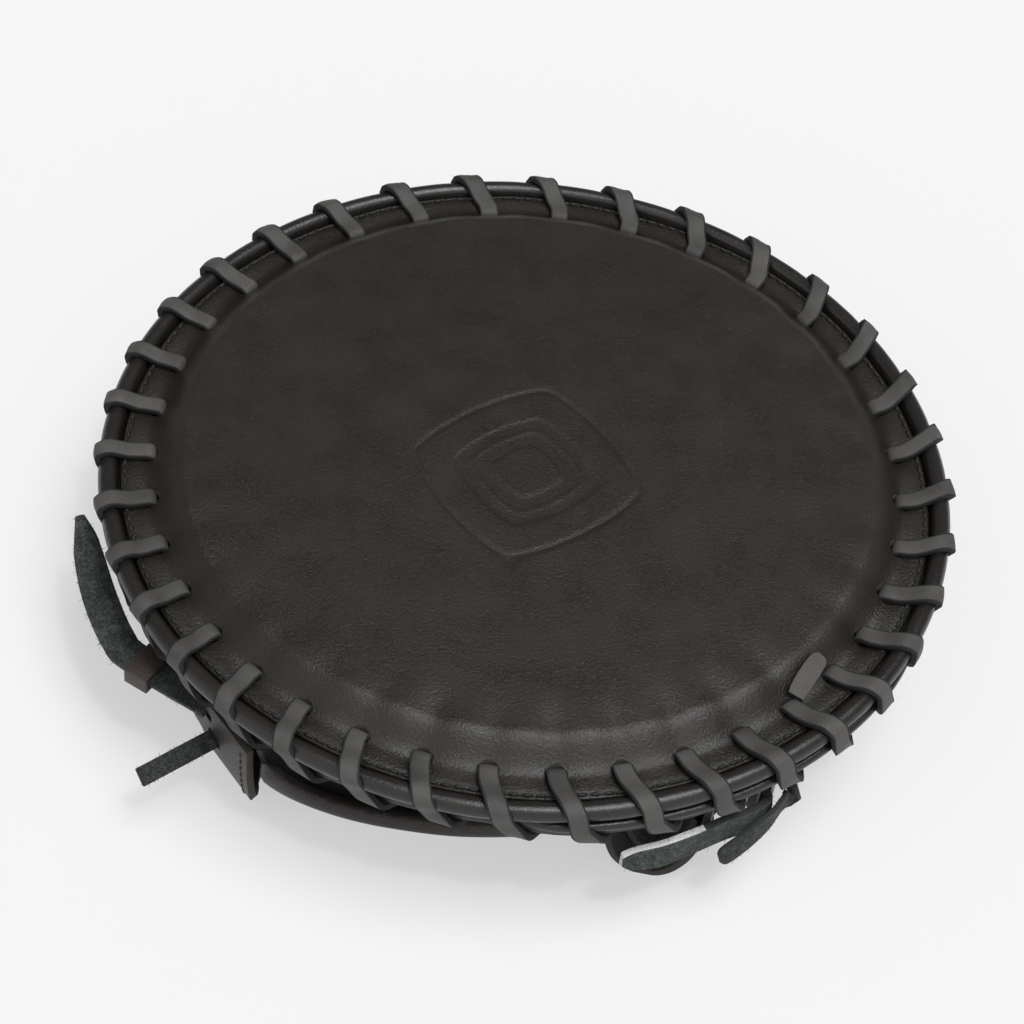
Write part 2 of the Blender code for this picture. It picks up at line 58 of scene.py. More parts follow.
# Camera.
# It looks down on the trainer from a little to the right of the wrist, with a long lens, and is
# tilted a few degrees about its own line of sight.
LOOK_DOWN = math.radians(48.29)
TURNED = math.radians(5.0)
TILTED = math.radians(6.74)
bpy.ops.object.camera_add(location=(0.04672, -0.57046, 0.67124))
camera = bpy.context.object
aim = Matrix.Rotation(TURNED, 3, "Z") @ Matrix.Rotation(math.pi / 2 - LOOK_DOWN, 3, "X")
camera.rotation_euler = (aim @ Matrix.Rotation(TILTED, 3, "Z")).to_euler()
camera.data.lens = 100
bpy.context.scene.camera = camera


# Floor and light.
# A pale floor that glows a little itself, in a room that is bright in front and dim behind, with one
# bright panel overhead that only the near shoulder mirrors. A soft lamp throws the shadow.
def wire(tree, *pairs):
    for source, target in pairs:
        tree.links.new(source, target)


def new_material(name, colour, roughness):
    """A material with a plain finish, with its node tree and its shader."""
    material = bpy.data.materials.new(name)
    material.use_nodes = True
    shader = material.node_tree.nodes["Principled BSDF"]
    shader.inputs["Base Color"].default_value = (*colour, 1)
    shader.inputs["Roughness"].default_value = roughness
    return material, material.node_tree, shader


def number(tree, operation, first, second, third=None):
    """A Math node, whose terms are sockets or plain numbers."""
    node = tree.nodes.new("ShaderNodeMath")
    node.operation = operation
    for socket, term in zip(node.inputs, (first, second, third)):
        if isinstance(term, (int, float)):
            socket.default_value = term
        elif term is not None:
            tree.links.new(term, socket)
    return node.outputs[0]


def spread(tree, mask, low, high, start=0.0, end=1.0, kind="LINEAR"):
    """A number that goes from low to high as the mask goes from start to end."""
    node = tree.nodes.new("ShaderNodeMapRange")
    node.interpolation_type = kind
    for label, value in zip(("From Min", "From Max", "To Min", "To Max"), (start, end, low, high)):
        node.inputs[label].default_value = value
    tree.links.new(mask, node.inputs["Value"])
    return node.outputs["Result"]


bpy.context.scene.view_settings.view_transform = "Standard"
bpy.ops.mesh.primitive_plane_add(size=9, location=(0, 0, -0.0003))
floor = bpy.context.object
floor.name = "floor"
paint, _, shader = new_material("pale floor", (0.365, 0.365, 0.365), 0.9)
shader.inputs["Specular IOR Level"].default_value = 0.1
shader.inputs["Emission Color"].default_value = (1, 1, 1, 1)
shader.inputs["Emission Strength"].default_value = 0.50
floor.data.materials.append(paint)

bpy.ops.object.light_add(type="SUN", rotation=(math.radians(13), math.radians(15), 0))
lamp = bpy.context.object
lamp.data.energy = 0.45
lamp.data.angle = math.radians(4)

room = bpy.data.worlds.new("bright room")
room.use_nodes = True
bpy.context.scene.world = room
sky = room.node_tree
direction = sky.nodes.new("ShaderNodeTexCoord")
split = sky.nodes.new("ShaderNodeSeparateXYZ")
wire(sky, (direction.outputs["Generated"], split.inputs[0]))
front = spread(sky, split.outputs["Y"], 0.21, 0.86, 0.15, -0.45, "SMOOTHSTEP")
toward = sky.nodes.new("ShaderNodeVectorMath")
toward.operation = "DOT_PRODUCT"
toward.inputs[1].default_value = Vector((0.28, -0.02, 0.96)).normalized()
wire(sky, (direction.outputs["Generated"], toward.inputs[0]))
overhead = spread(sky, toward.outputs["Value"], 0.0, 1.0, 0.932, 0.975, "SMOOTHSTEP")
level = number(sky, "MULTIPLY_ADD", overhead, number(sky, "SUBTRACT", 6.8, front), front)
wire(sky, (level, sky.nodes["Background"].inputs["Color"]))
sky.nodes["Background"].inputs["Strength"].default_value = 1.0


# Face panel.
# One disc of smooth dyed cowhide, pulled over felt so that it crowns and drops at a soft shoulder,
# with a hole punched for each turn of the lace and a mark pressed into its middle.
PAD_RADIUS = 0.127
FACE_LEATHER = 0.0026
FACE_EDGE = 0.0488
FACE_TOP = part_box("face_panel")[1].z
FACE_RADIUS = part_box("face_panel")[1].x
DOME = 0.0014
SHOULDER_FOOT = 0.1135
SHOULDER_WIDTH = 0.0120
STITCH_LINE = 0.1188
HOLES = 36
HOLE_RING = PAD_RADIUS - 0.015
HOLE_RADIUS = 0.00300
PUNCH_LENGTH = 0.03
TUG_DEPTH = 0.0009
TUG_WIDTH = 0.0050
TUG_LENGTH = 0.0060
GATHER_LEAST = 0.0003
GATHER_MORE = 0.0010
GATHER_WIDTH = 0.0042
GATHER_LENGTH = 0.0085
GATHER_INSET = 0.009
SWAY_DEPTH = 0.0006
MARK_CENTRE = Vector((0.0005, -0.008))
MARK_DEPTH = 0.00030
MARK_OUTLINE = 0.0335
MARK_FIELD = 0.0225
MARK_RIDGE = 0.0165
MARK_ISLAND = 0.0112


def hole_angle(turn):
    """The holes are punched by eye, so their pitch drifts a little round the pad."""
    along = math.tau * turn / HOLES
    drift = 6.6 * math.sin(along + math.radians(31)) + 1.8 * math.sin(2 * along + math.radians(64))
    return math.radians(124.3 + drift) + along


def at(radius, angle, height):
    return Vector((radius * math.cos(angle), radius * math.sin(angle), height))


def ease(share):
    share = min(max(share, 0), 1)
    return math.sin(share * math.pi / 2) ** 2


def face_height(radius):
    """The face before it is pulled about: a slight dome, a shoulder, a level margin and a sewn groove."""
    rise = ease((SHOULDER_FOOT - radius) / SHOULDER_WIDTH)
    dome = DOME * max(0, 1 - (radius / HOLE_RING) ** 2)
    groove = 0.0003 * math.exp(-(((radius - STITCH_LINE) / 0.0009) ** 2))
    return FACE_EDGE + (FACE_TOP - FACE_EDGE - DOME) * rise + dome - groove


def pull(x, y):
    """How far the leather is drawn down by the lace at each hole, and by its own stretch between them."""
    radius, angle = math.hypot(x, y), math.atan2(y, x)
    if radius < 0.06:
        return 0
    down = 0
    near = math.degrees(angle + math.pi / 2) % 360
    gather = GATHER_LEAST + GATHER_MORE * ease((near - 335) / 20 if near > 180 else (65 - near) / 25)
    for turn in range(HOLES):
        off = (angle - hole_angle(turn) + math.pi) % math.tau - math.pi
        if abs(off) > 0.16:
            continue
        across = off * radius
        in_from = HOLE_RING - radius
        tug = 0.75 + 0.5 * noise.noise((turn * 1.7, 3.1, 0))
        down += TUG_DEPTH * tug * math.exp(-((across / TUG_WIDTH) ** 2) - (in_from / TUG_LENGTH) ** 2)
        if in_from > -0.004:
            fold = ((in_from - GATHER_INSET) / GATHER_LENGTH) ** 2
            down += gather * tug * math.exp(-((across / GATHER_WIDTH) ** 2) - fold)
    sway = noise.noise((x * 22, y * 22, 5)) + 0.5 * noise.noise((x * 60, y * 60, 9))
    return down + SWAY_DEPTH * sway * ease((radius - 0.06) / 0.05)


def diamond(x, y):
    """How far out a place is, in rounded diamonds about the mark's centre."""
    return (abs(x) ** 1.32 + abs(y) ** 1.32) ** (1 / 1.32)


def mark(x, y):
    """Two nested rounded diamonds, pressed in: an outline, and a sunk field with a raised one inside it."""
    out = diamond(x - MARK_CENTRE.x, y - MARK_CENTRE.y)
    line = math.exp(-(((out - MARK_OUTLINE) / 0.0010) ** 2))
    field = ease((MARK_FIELD - out) / 0.0016)
    island = ease((MARK_ISLAND - out) / 0.0016)
    ridge = math.exp(-(((out - MARK_RIDGE) / 0.0009) ** 2))
    return MARK_DEPTH * (line + 0.8 * field - 0.7 * island - 0.5 * ridge)


def edit_all(obj):
    """Opens one object in edit mode with all of it selected."""
    bpy.ops.object.mode_set(mode="OBJECT")
    bpy.ops.object.select_all(action="DESELECT")
    bpy.context.view_layer.objects.active = obj
    obj.select_set(True)
    bpy.ops.object.mode_set(mode="EDIT")
    bpy.ops.mesh.select_all(action="SELECT")


def tidy(obj, merge=0.00001):
    """Merges doubled points, drops loose edges and turns the faces outwards."""
    edit_all(obj)
    bpy.ops.mesh.remove_doubles(threshold=merge)
    bpy.ops.mesh.delete_loose()
    bpy.ops.mesh.select_all(action="SELECT")
    bpy.ops.mesh.normals_make_consistent(inside=False)
    bpy.ops.object.mode_set(mode="OBJECT")


def smooth(obj, degrees=40):
    bpy.ops.object.mode_set(mode="OBJECT")
    bpy.ops.object.select_all(action="DESELECT")
    bpy.context.view_layer.objects.active = obj
    obj.select_set(True)
    bpy.ops.object.shade_smooth_by_angle(angle=math.radians(degrees))


def turned(name, section, steps):
    """A section of (radius, height) points spun about the pad's axis."""
    bpy.ops.mesh.primitive_circle_add(vertices=len(section), radius=1)
    obj = bpy.context.object
    obj.name = name
    for vert, (radius, height) in zip(obj.data.vertices, section):
        vert.co = (radius, 0, height)
    edit_all(obj)
    bpy.ops.mesh.spin(steps=steps, angle=math.tau, center=(0, 0, 0), axis=(0, 0, 1))
    tidy(obj)
    return obj


def apply(obj, kind, **settings):
    """Adds a modifier with its settings and applies it."""
    bpy.ops.object.mode_set(mode="OBJECT")
    bpy.ops.object.select_all(action="DESELECT")
    bpy.context.view_layer.objects.active = obj
    obj.select_set(True)
    modifier = obj.modifiers.new(kind.lower(), kind)
    for setting, value in settings.items():
        setattr(modifier, setting, value)
    bpy.ops.object.modifier_apply(modifier=modifier.name)


def repeated(obj, name, places):
    """Copies of one finished piece, each with its own mesh, joined into one object."""
    bpy.ops.object.select_all(action="DESELECT")
    made = []
    for place in places:
        copy = obj.copy()
        copy.data = obj.data.copy()
        copy.data.transform(place)
        bpy.context.collection.objects.link(copy)
        copy.select_set(True)
        made.append(copy)
    bpy.context.view_layer.objects.active = made[0]
    bpy.ops.object.join()
    bpy.data.objects.remove(obj)
    made[0].name = name
    return made[0]


def hang(obj, slot, *nodes, body="pad"):
    """Hangs a finished piece on the body it rides on and hides the solids it stands for. Its slot is not
    used.
    """
    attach(obj, body)
    if nodes:
        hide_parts(*nodes)


def new_group(name, takes, gives):
    """An empty node group with number sockets: its tree, its input node and its output node."""
    tree = bpy.data.node_groups.new(name, "ShaderNodeTree")
    for label, value in takes:
        socket = tree.interface.new_socket(label, in_out="INPUT", socket_type="NodeSocketFloat")
        socket.default_value = value
    for label in gives:
        tree.interface.new_socket(label, in_out="OUTPUT", socket_type="NodeSocketFloat")
    return tree, tree.nodes.new("NodeGroupInput"), tree.nodes.new("NodeGroupOutput")


def spots(tree, scale, detail=2.0, rough=0.55):
    """Noise over the object's own coordinates, at a scale in blobs per metre."""
    node = tree.nodes.new("ShaderNodeTexNoise")
    node.inputs["Detail"].default_value = detail
    node.inputs["Roughness"].default_value = rough
    coordinates = tree.nodes.new("ShaderNodeTexCoord")
    tree.links.new(coordinates.outputs["Object"], node.inputs["Vector"])
    if isinstance(scale, (int, float)):
        node.inputs["Scale"].default_value = scale
    else:
        tree.links.new(scale, node.inputs["Scale"])
    return node.outputs["Fac"]


# Pebbled grain: small cells with creases between them, pores, and broad soft creasing.
grain, takes, gives = new_group(
    "leather grain", (("Scale", 900), ("Crease", 0.5)), ("Height", "Tone", "Shine")
)
cells = grain.nodes.new("ShaderNodeTexVoronoi")
cells.feature = "SMOOTH_F1"
place = grain.nodes.new("ShaderNodeTexCoord")
wire(
    grain,
    (place.outputs["Object"], cells.inputs["Vector"]),
    (takes.outputs["Scale"], cells.inputs["Scale"]),
)
pores = spots(grain, number(grain, "MULTIPLY", takes.outputs["Scale"], 2.6))
broad = spots(grain, number(grain, "MULTIPLY", takes.outputs["Scale"], 0.045), 4)
creases = number(grain, "MULTIPLY", broad, takes.outputs["Crease"])
height = number(grain, "MULTIPLY_ADD", cells.outputs["Distance"], -0.9, number(grain, "ADD", pores, creases))
tone = number(grain, "MULTIPLY_ADD", broad, 0.75, number(grain, "MULTIPLY", pores, 0.35))
shine = number(grain, "MULTIPLY_ADD", pores, 0.5, number(grain, "MULTIPLY", broad, 0.5))
wire(
    grain,
    (height, gives.inputs["Height"]),
    (tone, gives.inputs["Tone"]),
    (shine, gives.inputs["Shine"]),
)


def blended(tree, mask, low, high, start=0.0, end=1.0):
    """A colour that goes from low to high as the mask goes from start to end."""
    node = tree.nodes.new("ShaderNodeValToRGB")
    node.color_ramp.elements[0].position = start
    node.color_ramp.elements[0].color = (*low, 1)
    node.color_ramp.elements[1].position = end
    node.color_ramp.elements[1].color = (*high, 1)
    tree.links.new(mask, node.inputs["Fac"])
    return node.outputs["Color"]


def bumped(tree, shader, height, depth, strength=1.0):
    bump = tree.nodes.new("ShaderNodeBump")
    bump.inputs["Strength"].default_value = strength
    bump.inputs["Distance"].default_value = depth
    wire(tree, (height, bump.inputs["Height"]), (bump.outputs["Normal"], shader.inputs["Normal"]))


def leather(name, dark, light, dull, shiny, scale=900, crease=0.5, depth=0.00012, gloss=0.5):
    """Grained leather: its colour and its sheen both vary with the grain."""
    material, tree, shader = new_material(name, dark, dull)
    pattern = tree.nodes.new("ShaderNodeGroup")
    pattern.node_tree = grain
    pattern.inputs["Scale"].default_value = scale
    pattern.inputs["Crease"].default_value = crease
    shader.inputs["Specular IOR Level"].default_value = gloss
    colour = blended(tree, pattern.outputs["Tone"], dark, light, 0.38, 0.72)
    rough = spread(tree, pattern.outputs["Shine"], shiny, dull, 0.35, 0.65)
    wire(tree, (colour, shader.inputs["Base Color"]), (rough, shader.inputs["Roughness"]))
    bumped(tree, shader, pattern.outputs["Height"], depth)
    return material


def raw_edge(name, dark, light, roughness=0.9):
    """The cut side of leather: fibres with no finish on them."""
    material, tree, shader = new_material(name, dark, roughness)
    fibres = spots(tree, 2600, 3, 0.7)
    wire(tree, (blended(tree, fibres, dark, light, 0.3, 0.7), shader.inputs["Base Color"]))
    bumped(tree, shader, fibres, 0.00025)
    return material


face_leather = leather(
    "face leather", (0.0090, 0.0072, 0.0052), (0.0160, 0.0130, 0.0096), 0.36, 0.24, scale=1500, depth=0.00013
)
punched_edge = raw_edge("punched edge", (0.020, 0.019, 0.017), (0.16, 0.15, 0.14))

top = [0.0006 * step for step in range(70)]
top += [0.042 + 0.0024 * step for step in range(1, 18)]
top += [0.0828 + 0.0008 * step for step in range(1, 47)]
section = [(radius, face_height(radius)) for radius in top]
section += [(FACE_RADIUS - 0.0003, FACE_EDGE - 0.0003), (FACE_RADIUS, FACE_EDGE - 0.0009)]
under = [FACE_RADIUS - 0.0003] + [FACE_RADIUS - 0.003 * step for step in range(1, 15)] + [0.06, 0.03, 0]
section += [(radius, face_height(radius) - FACE_LEATHER) for radius in under]
face = turned("face", section, 360)
for vert in face.data.vertices:
    x, y, z = vert.co
    vert.co.z -= pull(x, y)
    if z > face_height(math.hypot(x, y)) - FACE_LEATHER / 2:
        vert.co.z -= mark(x, y)

bpy.ops.mesh.primitive_cylinder_add(
    vertices=28, radius=HOLE_RADIUS, depth=PUNCH_LENGTH, location=(HOLE_RING, 0, FACE_EDGE)
)
punch = bpy.context.object
bpy.ops.object.transform_apply(location=True, rotation=True, scale=True)
turns = [Matrix.Rotation(hole_angle(turn), 4, "Z") for turn in range(HOLES)]
punches = repeated(punch, "punches", turns)
face.data.materials.append(face_leather)
punches.data.materials.append(punched_edge)
apply(face, "BOOLEAN", operation="DIFFERENCE", object=punches, material_mode="TRANSFER")
smooth(face)
hang(face, "face_leather", "face_panel")


# Rim stitching.
# Waxed black thread, sewn through the face and both welts in one groove close to the rolls. Each
# stitch stands proud in the middle and dips into its needle holes.
STITCH_PITCH = 0.0037
thread, tree, shader = new_material("black thread", (0.006, 0.006, 0.006), 0.55)
wax = blended(tree, spots(tree, 3000), (0.004, 0.004, 0.004), (0.016, 0.015, 0.014))
wire(tree, (wax, shader.inputs["Base Color"]))
bumped(tree, shader, spots(tree, 4200), 0.00015)


def stitch(length, width, height):
    """One stitch along Y, as a flattened bead."""
    bpy.ops.object.select_all(action="DESELECT")
    bpy.ops.mesh.primitive_uv_sphere_add(segments=8, ring_count=6, radius=0.5)
    bead = bpy.context.object
    bead.scale = (width, length, height)
    bpy.ops.object.transform_apply(location=True, rotation=True, scale=True)
    bead.data.materials.append(thread)
    return bead


count = round(math.tau * STITCH_LINE / STITCH_PITCH)
places = []
for step in range(count):
    angle = math.tau * step / count
    spot = at(STITCH_LINE, angle, face_height(STITCH_LINE) - pull(*at(STITCH_LINE, angle, 0).xy) + 0.0002)
    places.append(Matrix.Translation(spot) @ Matrix.Rotation(angle, 4, "Z"))
rim_stitches = repeated(stitch(0.0031, 0.0012, 0.0013), "rim_stitches", places)
smooth(rim_stitches, 60)
hang(rim_stitches, "welt_leather")


# Welts.
# Two folded strips of softer leather between the face and the back. Their folds stand out as
# glossy rolls, nipped in where each turn of the lace crosses them. The lower one is mostly tucked in.
WELT_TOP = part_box("face_welt")[1].z
ROLL = 0.0029
ROLL_RING = PAD_RADIUS - 0.0033
FLANGE_RING = 0.1162
LOW_WELT_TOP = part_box("back_welt")[1].z
LOW_WELT_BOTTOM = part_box("back_welt")[0].z
LACE_SLANT = 3.8
NIP_WIDTH = 0.0042
NIP_DEPTH = 0.07
TUCK_DEPTH = 0.0038


def lace_slant(angle):
    """How far round the lace travels as it crosses the edge: more on one side of the pad than the other."""
    wander = 2.1 * math.sin(angle + math.radians(44)) + 1.6 * math.sin(2 * angle + math.radians(317))
    return math.radians(LACE_SLANT + wander)


def nip(angle, share):
    """1 where the lace crosses, 0 between the turns."""
    most = 0
    for turn in range(HOLES):
        start = hole_angle(turn)
        crossing = start + lace_slant(start) * share
        off = ((angle - crossing + math.pi) % math.tau - math.pi) * PAD_RADIUS
        most = max(most, math.exp(-((off / NIP_WIDTH) ** 2)))
    return most


def tuck(angle):
    """How far the lower welt is drawn in under the upper one. It shows only at the near right."""
    near = math.degrees(angle + math.pi / 2) % 360
    return TUCK_DEPTH * (1 - ease((near - 4) / 12) * ease((88 - near) / 25))


def arc(centre, radius, start, end, count):
    """Points of a section along an arc, from one angle in degrees to the other."""
    swept = [math.radians(start + (end - start) * step / count) for step in range(count + 1)]
    return [(centre[0] + radius * math.cos(a), centre[1] + radius * math.sin(a)) for a in swept]


welt_leather = leather(
    "welt leather", (0.0090, 0.0078, 0.0068), (0.0150, 0.0130, 0.0115), 0.36, 0.24, scale=1300, depth=0.00006
)
roll_centre = (ROLL_RING, WELT_TOP - ROLL)
section = arc(roll_centre, ROLL, 150, -90, 22)
section += [(FLANGE_RING, WELT_TOP - 2 * ROLL), (FLANGE_RING, WELT_TOP - 2 * ROLL + 0.0009)]
section += [(ROLL_RING - 0.0031, WELT_TOP - 2 * ROLL + 0.0009)]
upper = turned("face_welt_rolled", section, 288)
low_fold = (LOW_WELT_TOP - LOW_WELT_BOTTOM) / 2
low_centre = (PAD_RADIUS - low_fold, LOW_WELT_BOTTOM + low_fold)
section = arc(low_centre, low_fold, 90, -90, 14)
section += [(FLANGE_RING, LOW_WELT_BOTTOM), (FLANGE_RING, LOW_WELT_TOP)]
lower = turned("back_welt_rolled", section, 288)
for welt, centre, size, share in ((upper, roll_centre, ROLL, 0.72), (lower, low_centre, low_fold, 0.97)):
    for vert in welt.data.vertices:
        angle, radius = math.atan2(vert.co.y, vert.co.x), math.hypot(vert.co.x, vert.co.y)
        outward, up = radius - centre[0], vert.co.z - centre[1]
        if math.hypot(outward, up) > size * 1.1 or outward < -size * 0.9:
            continue
        uneven = noise.noise((angle * 9, centre[1] * 400, 1)) * 0.02
        share_left = 1 - NIP_DEPTH * nip(angle, share) + uneven
        inward = tuck(angle) if welt == lower else 0
        vert.co = at(centre[0] + outward * share_left - inward, angle, centre[1] + up * share_left)
    welt.data.materials.append(welt_leather)
    smooth(welt, 50)
hang(upper, "welt_leather", "face_welt")
hang(lower, "welt_leather", "back_welt")


# Back and palm panels.
# The back is a heavy disc like the face, its cut edge burnished, with the lace's holes punched in
# line. The palm panel is a soft lining glued and sewn over its middle.
BACK_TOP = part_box("back_panel")[1].z
BACK_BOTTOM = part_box("back_panel")[0].z
BACK_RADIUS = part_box("back_panel")[1].x
BACK_TUCK = 0.8
PALM_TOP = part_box("palm_panel")[1].z
PALM_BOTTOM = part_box("palm_panel")[0].z
PALM_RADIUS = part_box("palm_panel")[1].x
PALM_SEAM_RING = 0.1038
SEAM_GROOVE = 0.0007
back_leather = leather("back leather", (0.0100, 0.0086, 0.0076), (0.0175, 0.0150, 0.0130), 0.52, 0.42)
palm_leather = leather("palm leather", (0.030, 0.025, 0.021), (0.050, 0.042, 0.036), 0.75, 0.62, scale=600)

edge = 0.0007
section = [(0, BACK_TOP), (0.1, BACK_TOP), (BACK_RADIUS - edge, BACK_TOP), (BACK_RADIUS, BACK_TOP - edge)]
section += [(BACK_RADIUS, BACK_BOTTOM + edge), (BACK_RADIUS - edge, BACK_BOTTOM)]
section += [(0.1, BACK_BOTTOM), (0, BACK_BOTTOM)]
back = turned("back", section, 240)
for vert in back.data.vertices:
    if math.hypot(vert.co.x, vert.co.y) > BACK_RADIUS - 0.001:
        angle = math.atan2(vert.co.y, vert.co.x)
        vert.co -= at(BACK_TUCK * tuck(angle), angle, 0)
back.data.materials.append(back_leather)
apply(back, "BOOLEAN", operation="DIFFERENCE", object=punches, material_mode="TRANSFER")
bpy.data.objects.remove(punches)
smooth(back)
hang(back, "back_leather", "back_panel")

section = [(0, PALM_TOP), (PALM_RADIUS, PALM_TOP), (PALM_RADIUS, PALM_BOTTOM + 0.0006)]
section += [(PALM_RADIUS - 0.0006, PALM_BOTTOM), (PALM_SEAM_RING + SEAM_GROOVE, PALM_BOTTOM)]
section += [(PALM_SEAM_RING, PALM_BOTTOM + 0.0003), (PALM_SEAM_RING - SEAM_GROOVE, PALM_BOTTOM)]
section += [(0.05, PALM_BOTTOM), (0, PALM_BOTTOM)]
palm = turned("palm", section, 240)
palm.data.materials.append(palm_leather)
smooth(palm)
hang(palm, "palm_leather", "palm_panel")
count = round(math.tau * PALM_SEAM_RING / STITCH_PITCH)
places = [Matrix.Rotation(math.tau * step / count, 4, "Z") for step in range(count)]
seam = stitch(0.0028, 0.0008, 0.0006)
seam.data.transform(Matrix.Translation((PALM_SEAM_RING, 0, PALM_BOTTOM + 0.0001)))
palm_stitches = repeated(seam, "palm_stitches", places)
hang(palm_stitches, "palm_leather")


# Rim lace.
# One flat strip of rawhide lace, charcoal on top with rough black cut edges. It comes up through a
# hole, lies over the shoulder and the rolls, and goes back under the rim to the next hole.
LACE_WIDTH = 0.0056
LACE_THICKNESS = 0.0017
LACE_CLEARANCE = 0.0002


def curve_through(stations, parts):
    """Stations along a smooth curve through the given ones. Each is a list of numbers and vectors."""
    made = []
    for step in range(len(stations) - 1):
        four = [stations[min(max(step + k, 0), len(stations) - 1)] for k in (-1, 0, 1, 2)]
        for part in range(parts):
            t = part / parts
            weights = (
                -0.5 * t + t * t - 0.5 * t**3,
                1 - 2.5 * t * t + 1.5 * t**3,
                0.5 * t + 2 * t * t - 1.5 * t**3,
                -0.5 * t * t + 0.5 * t**3,
            )
            made.append([sum((v * w for v, w in zip(vs, weights)), vs[0] * 0) for vs in zip(*four)])
    return made + [stations[-1]]


def shaped_grid(name, rows):
    """A grid primitive whose rows of points are moved into place. Its UV map runs across and along."""
    bpy.ops.object.select_all(action="DESELECT")
    bpy.ops.mesh.primitive_grid_add(x_subdivisions=len(rows[0]) - 1, y_subdivisions=len(rows) - 1, size=1)
    obj = bpy.context.object
    obj.name = name
    for vert, place in zip(obj.data.vertices, [point for row in rows for point in row]):
        vert.co = place
    return obj


def strap(name, stations, thickness, face, edge, bevel=0.00030, cupped=0.0, worn=False):
    """A flat strip through stations of [centre, face normal, width], its cut edges in their own finish.

    A worn strip's finish is also rubbed off along both sides of its face.
    """
    rows = []
    last = len(stations) - 1
    for step, (centre, normal, width) in enumerate(stations):
        ahead = stations[min(step + 1, last)][0] - stations[max(step - 1, 0)][0]
        across = ahead.cross(normal).normalized()
        out = across.cross(ahead).normalized()
        row = []
        for share in (-0.5, -0.41, -0.22, 0, 0.22, 0.41, 0.5):
            row.append(centre + across * width * share - out * cupped * (2 * share) ** 2)
        rows.append(row)
    obj = shaped_grid(name, rows)
    obj.data.materials.append(face)
    obj.data.materials.append(edge)
    for polygon in obj.data.polygons:
        polygon.material_index = 1 if worn and polygon.index % 6 in (0, 5) else 0
    apply(obj, "SOLIDIFY", thickness=thickness, offset=0, material_offset_rim=1)
    apply(obj, "BEVEL", width=bevel, segments=2, limit_method="ANGLE", angle_limit=math.radians(50))
    smooth(obj, 50)
    return obj


def lace_route():
    """One turn, as (radius, height, the normal's angle, share of the slant, share of the return)."""
    clear = LACE_CLEARANCE + LACE_THICKNESS / 2
    over = FACE_EDGE + clear
    under = BACK_BOTTOM - clear
    roll = ROLL + clear
    route = [
        (HOLE_RING - 0.0014, 0.0450, 180, 0, 0),
        (HOLE_RING - 0.0014, FACE_EDGE - 0.0008, 180, 0, 0),
        (HOLE_RING - 0.0004, over - 0.0003, 130, 0, 0),
        (HOLE_RING + 0.0026, over - 0.0001, 97, 0.04, 0),
        (FACE_RADIUS - 0.0020, over + 0.0003, 100, 0.18, 0),
    ]
    for bend, share in ((100, 0.36), (62, 0.52), (30, 0.66)):
        radius, height = arc(roll_centre, roll, bend, bend, 1)[0]
        route.append((radius, height, bend, share, 0))
    outer = PAD_RADIUS + clear
    return route + [
        (outer, LOW_WELT_TOP, 0, 0.84, 0),
        (outer - 0.0002, LOW_WELT_BOTTOM, -10, 1, 0.06),
        (BACK_RADIUS + 0.0014, BACK_BOTTOM + 0.0001, -35, 1, 0.20),
        (BACK_RADIUS + 0.0001, under - 0.0002, -65, 1, 0.32),
        (BACK_RADIUS - 0.0024, under - 0.0001, -88, 1, 0.48),
        (HOLE_RING + 0.0024, under, -95, 1, 0.93),
        (HOLE_RING + 0.0005, under + 0.0003, -135, 1, 1),
    ]


lace_leather = leather(
    "lace leather",
    (0.042, 0.040, 0.038),
    (0.084, 0.081, 0.076),
    0.66,
    0.52,
    scale=1500,
    depth=0.00008,
    gloss=0.35,
)
lace_edge = raw_edge("lace edge", (0.006, 0.006, 0.006), (0.022, 0.022, 0.021))
dice = random.Random(36)
stations = []
for turn in range(HOLES):
    start = hole_angle(turn)
    slant = lace_slant(start)
    home = hole_angle(turn + 1) - start - slant
    width = LACE_WIDTH * dice.uniform(0.95, 1.04)
    lift = dice.uniform(0, 0.0003)
    for radius, height, tilt, out, back_share in lace_route():
        angle = start + slant * out + home * back_share
        lean = math.radians(tilt)
        proud = lift if 0.3 < out < 1 else 0
        low = height < LOW_WELT_TOP + 0.001 and radius > BACK_RADIUS - 0.003
        inward = tuck(angle) * BACK_TUCK if low else 0
        centre = at(radius + proud * math.cos(lean) - inward, angle, height + proud * math.sin(lean))
        stations.append([centre, at(math.cos(lean), angle, math.sin(lean)), width])
rim_lace = strap(
    "rim_lacing", curve_through(stations, 3), LACE_THICKNESS, lace_leather, lace_edge, 0.0004, 0.00030, True
)
hang(rim_lace, "lace_leather", "rim_lace")

# The lace's end is tucked out from beside one hole and lies on the face, skived to a blunt point.
near, far = hole_angle(20), hole_angle(21)
stations = []
END_LENGTH = 0.0150
END_INSET = 0.0012
END_SHAPE = (
    (-0.46, -0.0004, 0.85),
    (-0.25, 0.0006, 1),
    (0.2, 0.0021, 1),
    (0.44, 0.0026, 0.8),
    (0.52, 0.0027, 0.4),
)
for share, inward, width in END_SHAPE:
    angle = (near + far) / 2 + END_LENGTH / HOLE_RING * share
    radius = HOLE_RING - END_INSET - inward
    spot = at(radius, angle, 0)
    height = face_height(radius - LACE_WIDTH * 0.4) - pull(spot.x, spot.y) * 0.6 + LACE_THICKNESS / 2 + 0.0002
    stations.append([at(radius, angle, height), at(0.32, angle, 1).normalized(), LACE_WIDTH * width])
lace_end = strap("rim_lacing_end", curve_through(stations, 4), LACE_THICKNESS, lace_leather, lace_edge)
hang(lace_end, "lace_leather", "rim_lace_end")


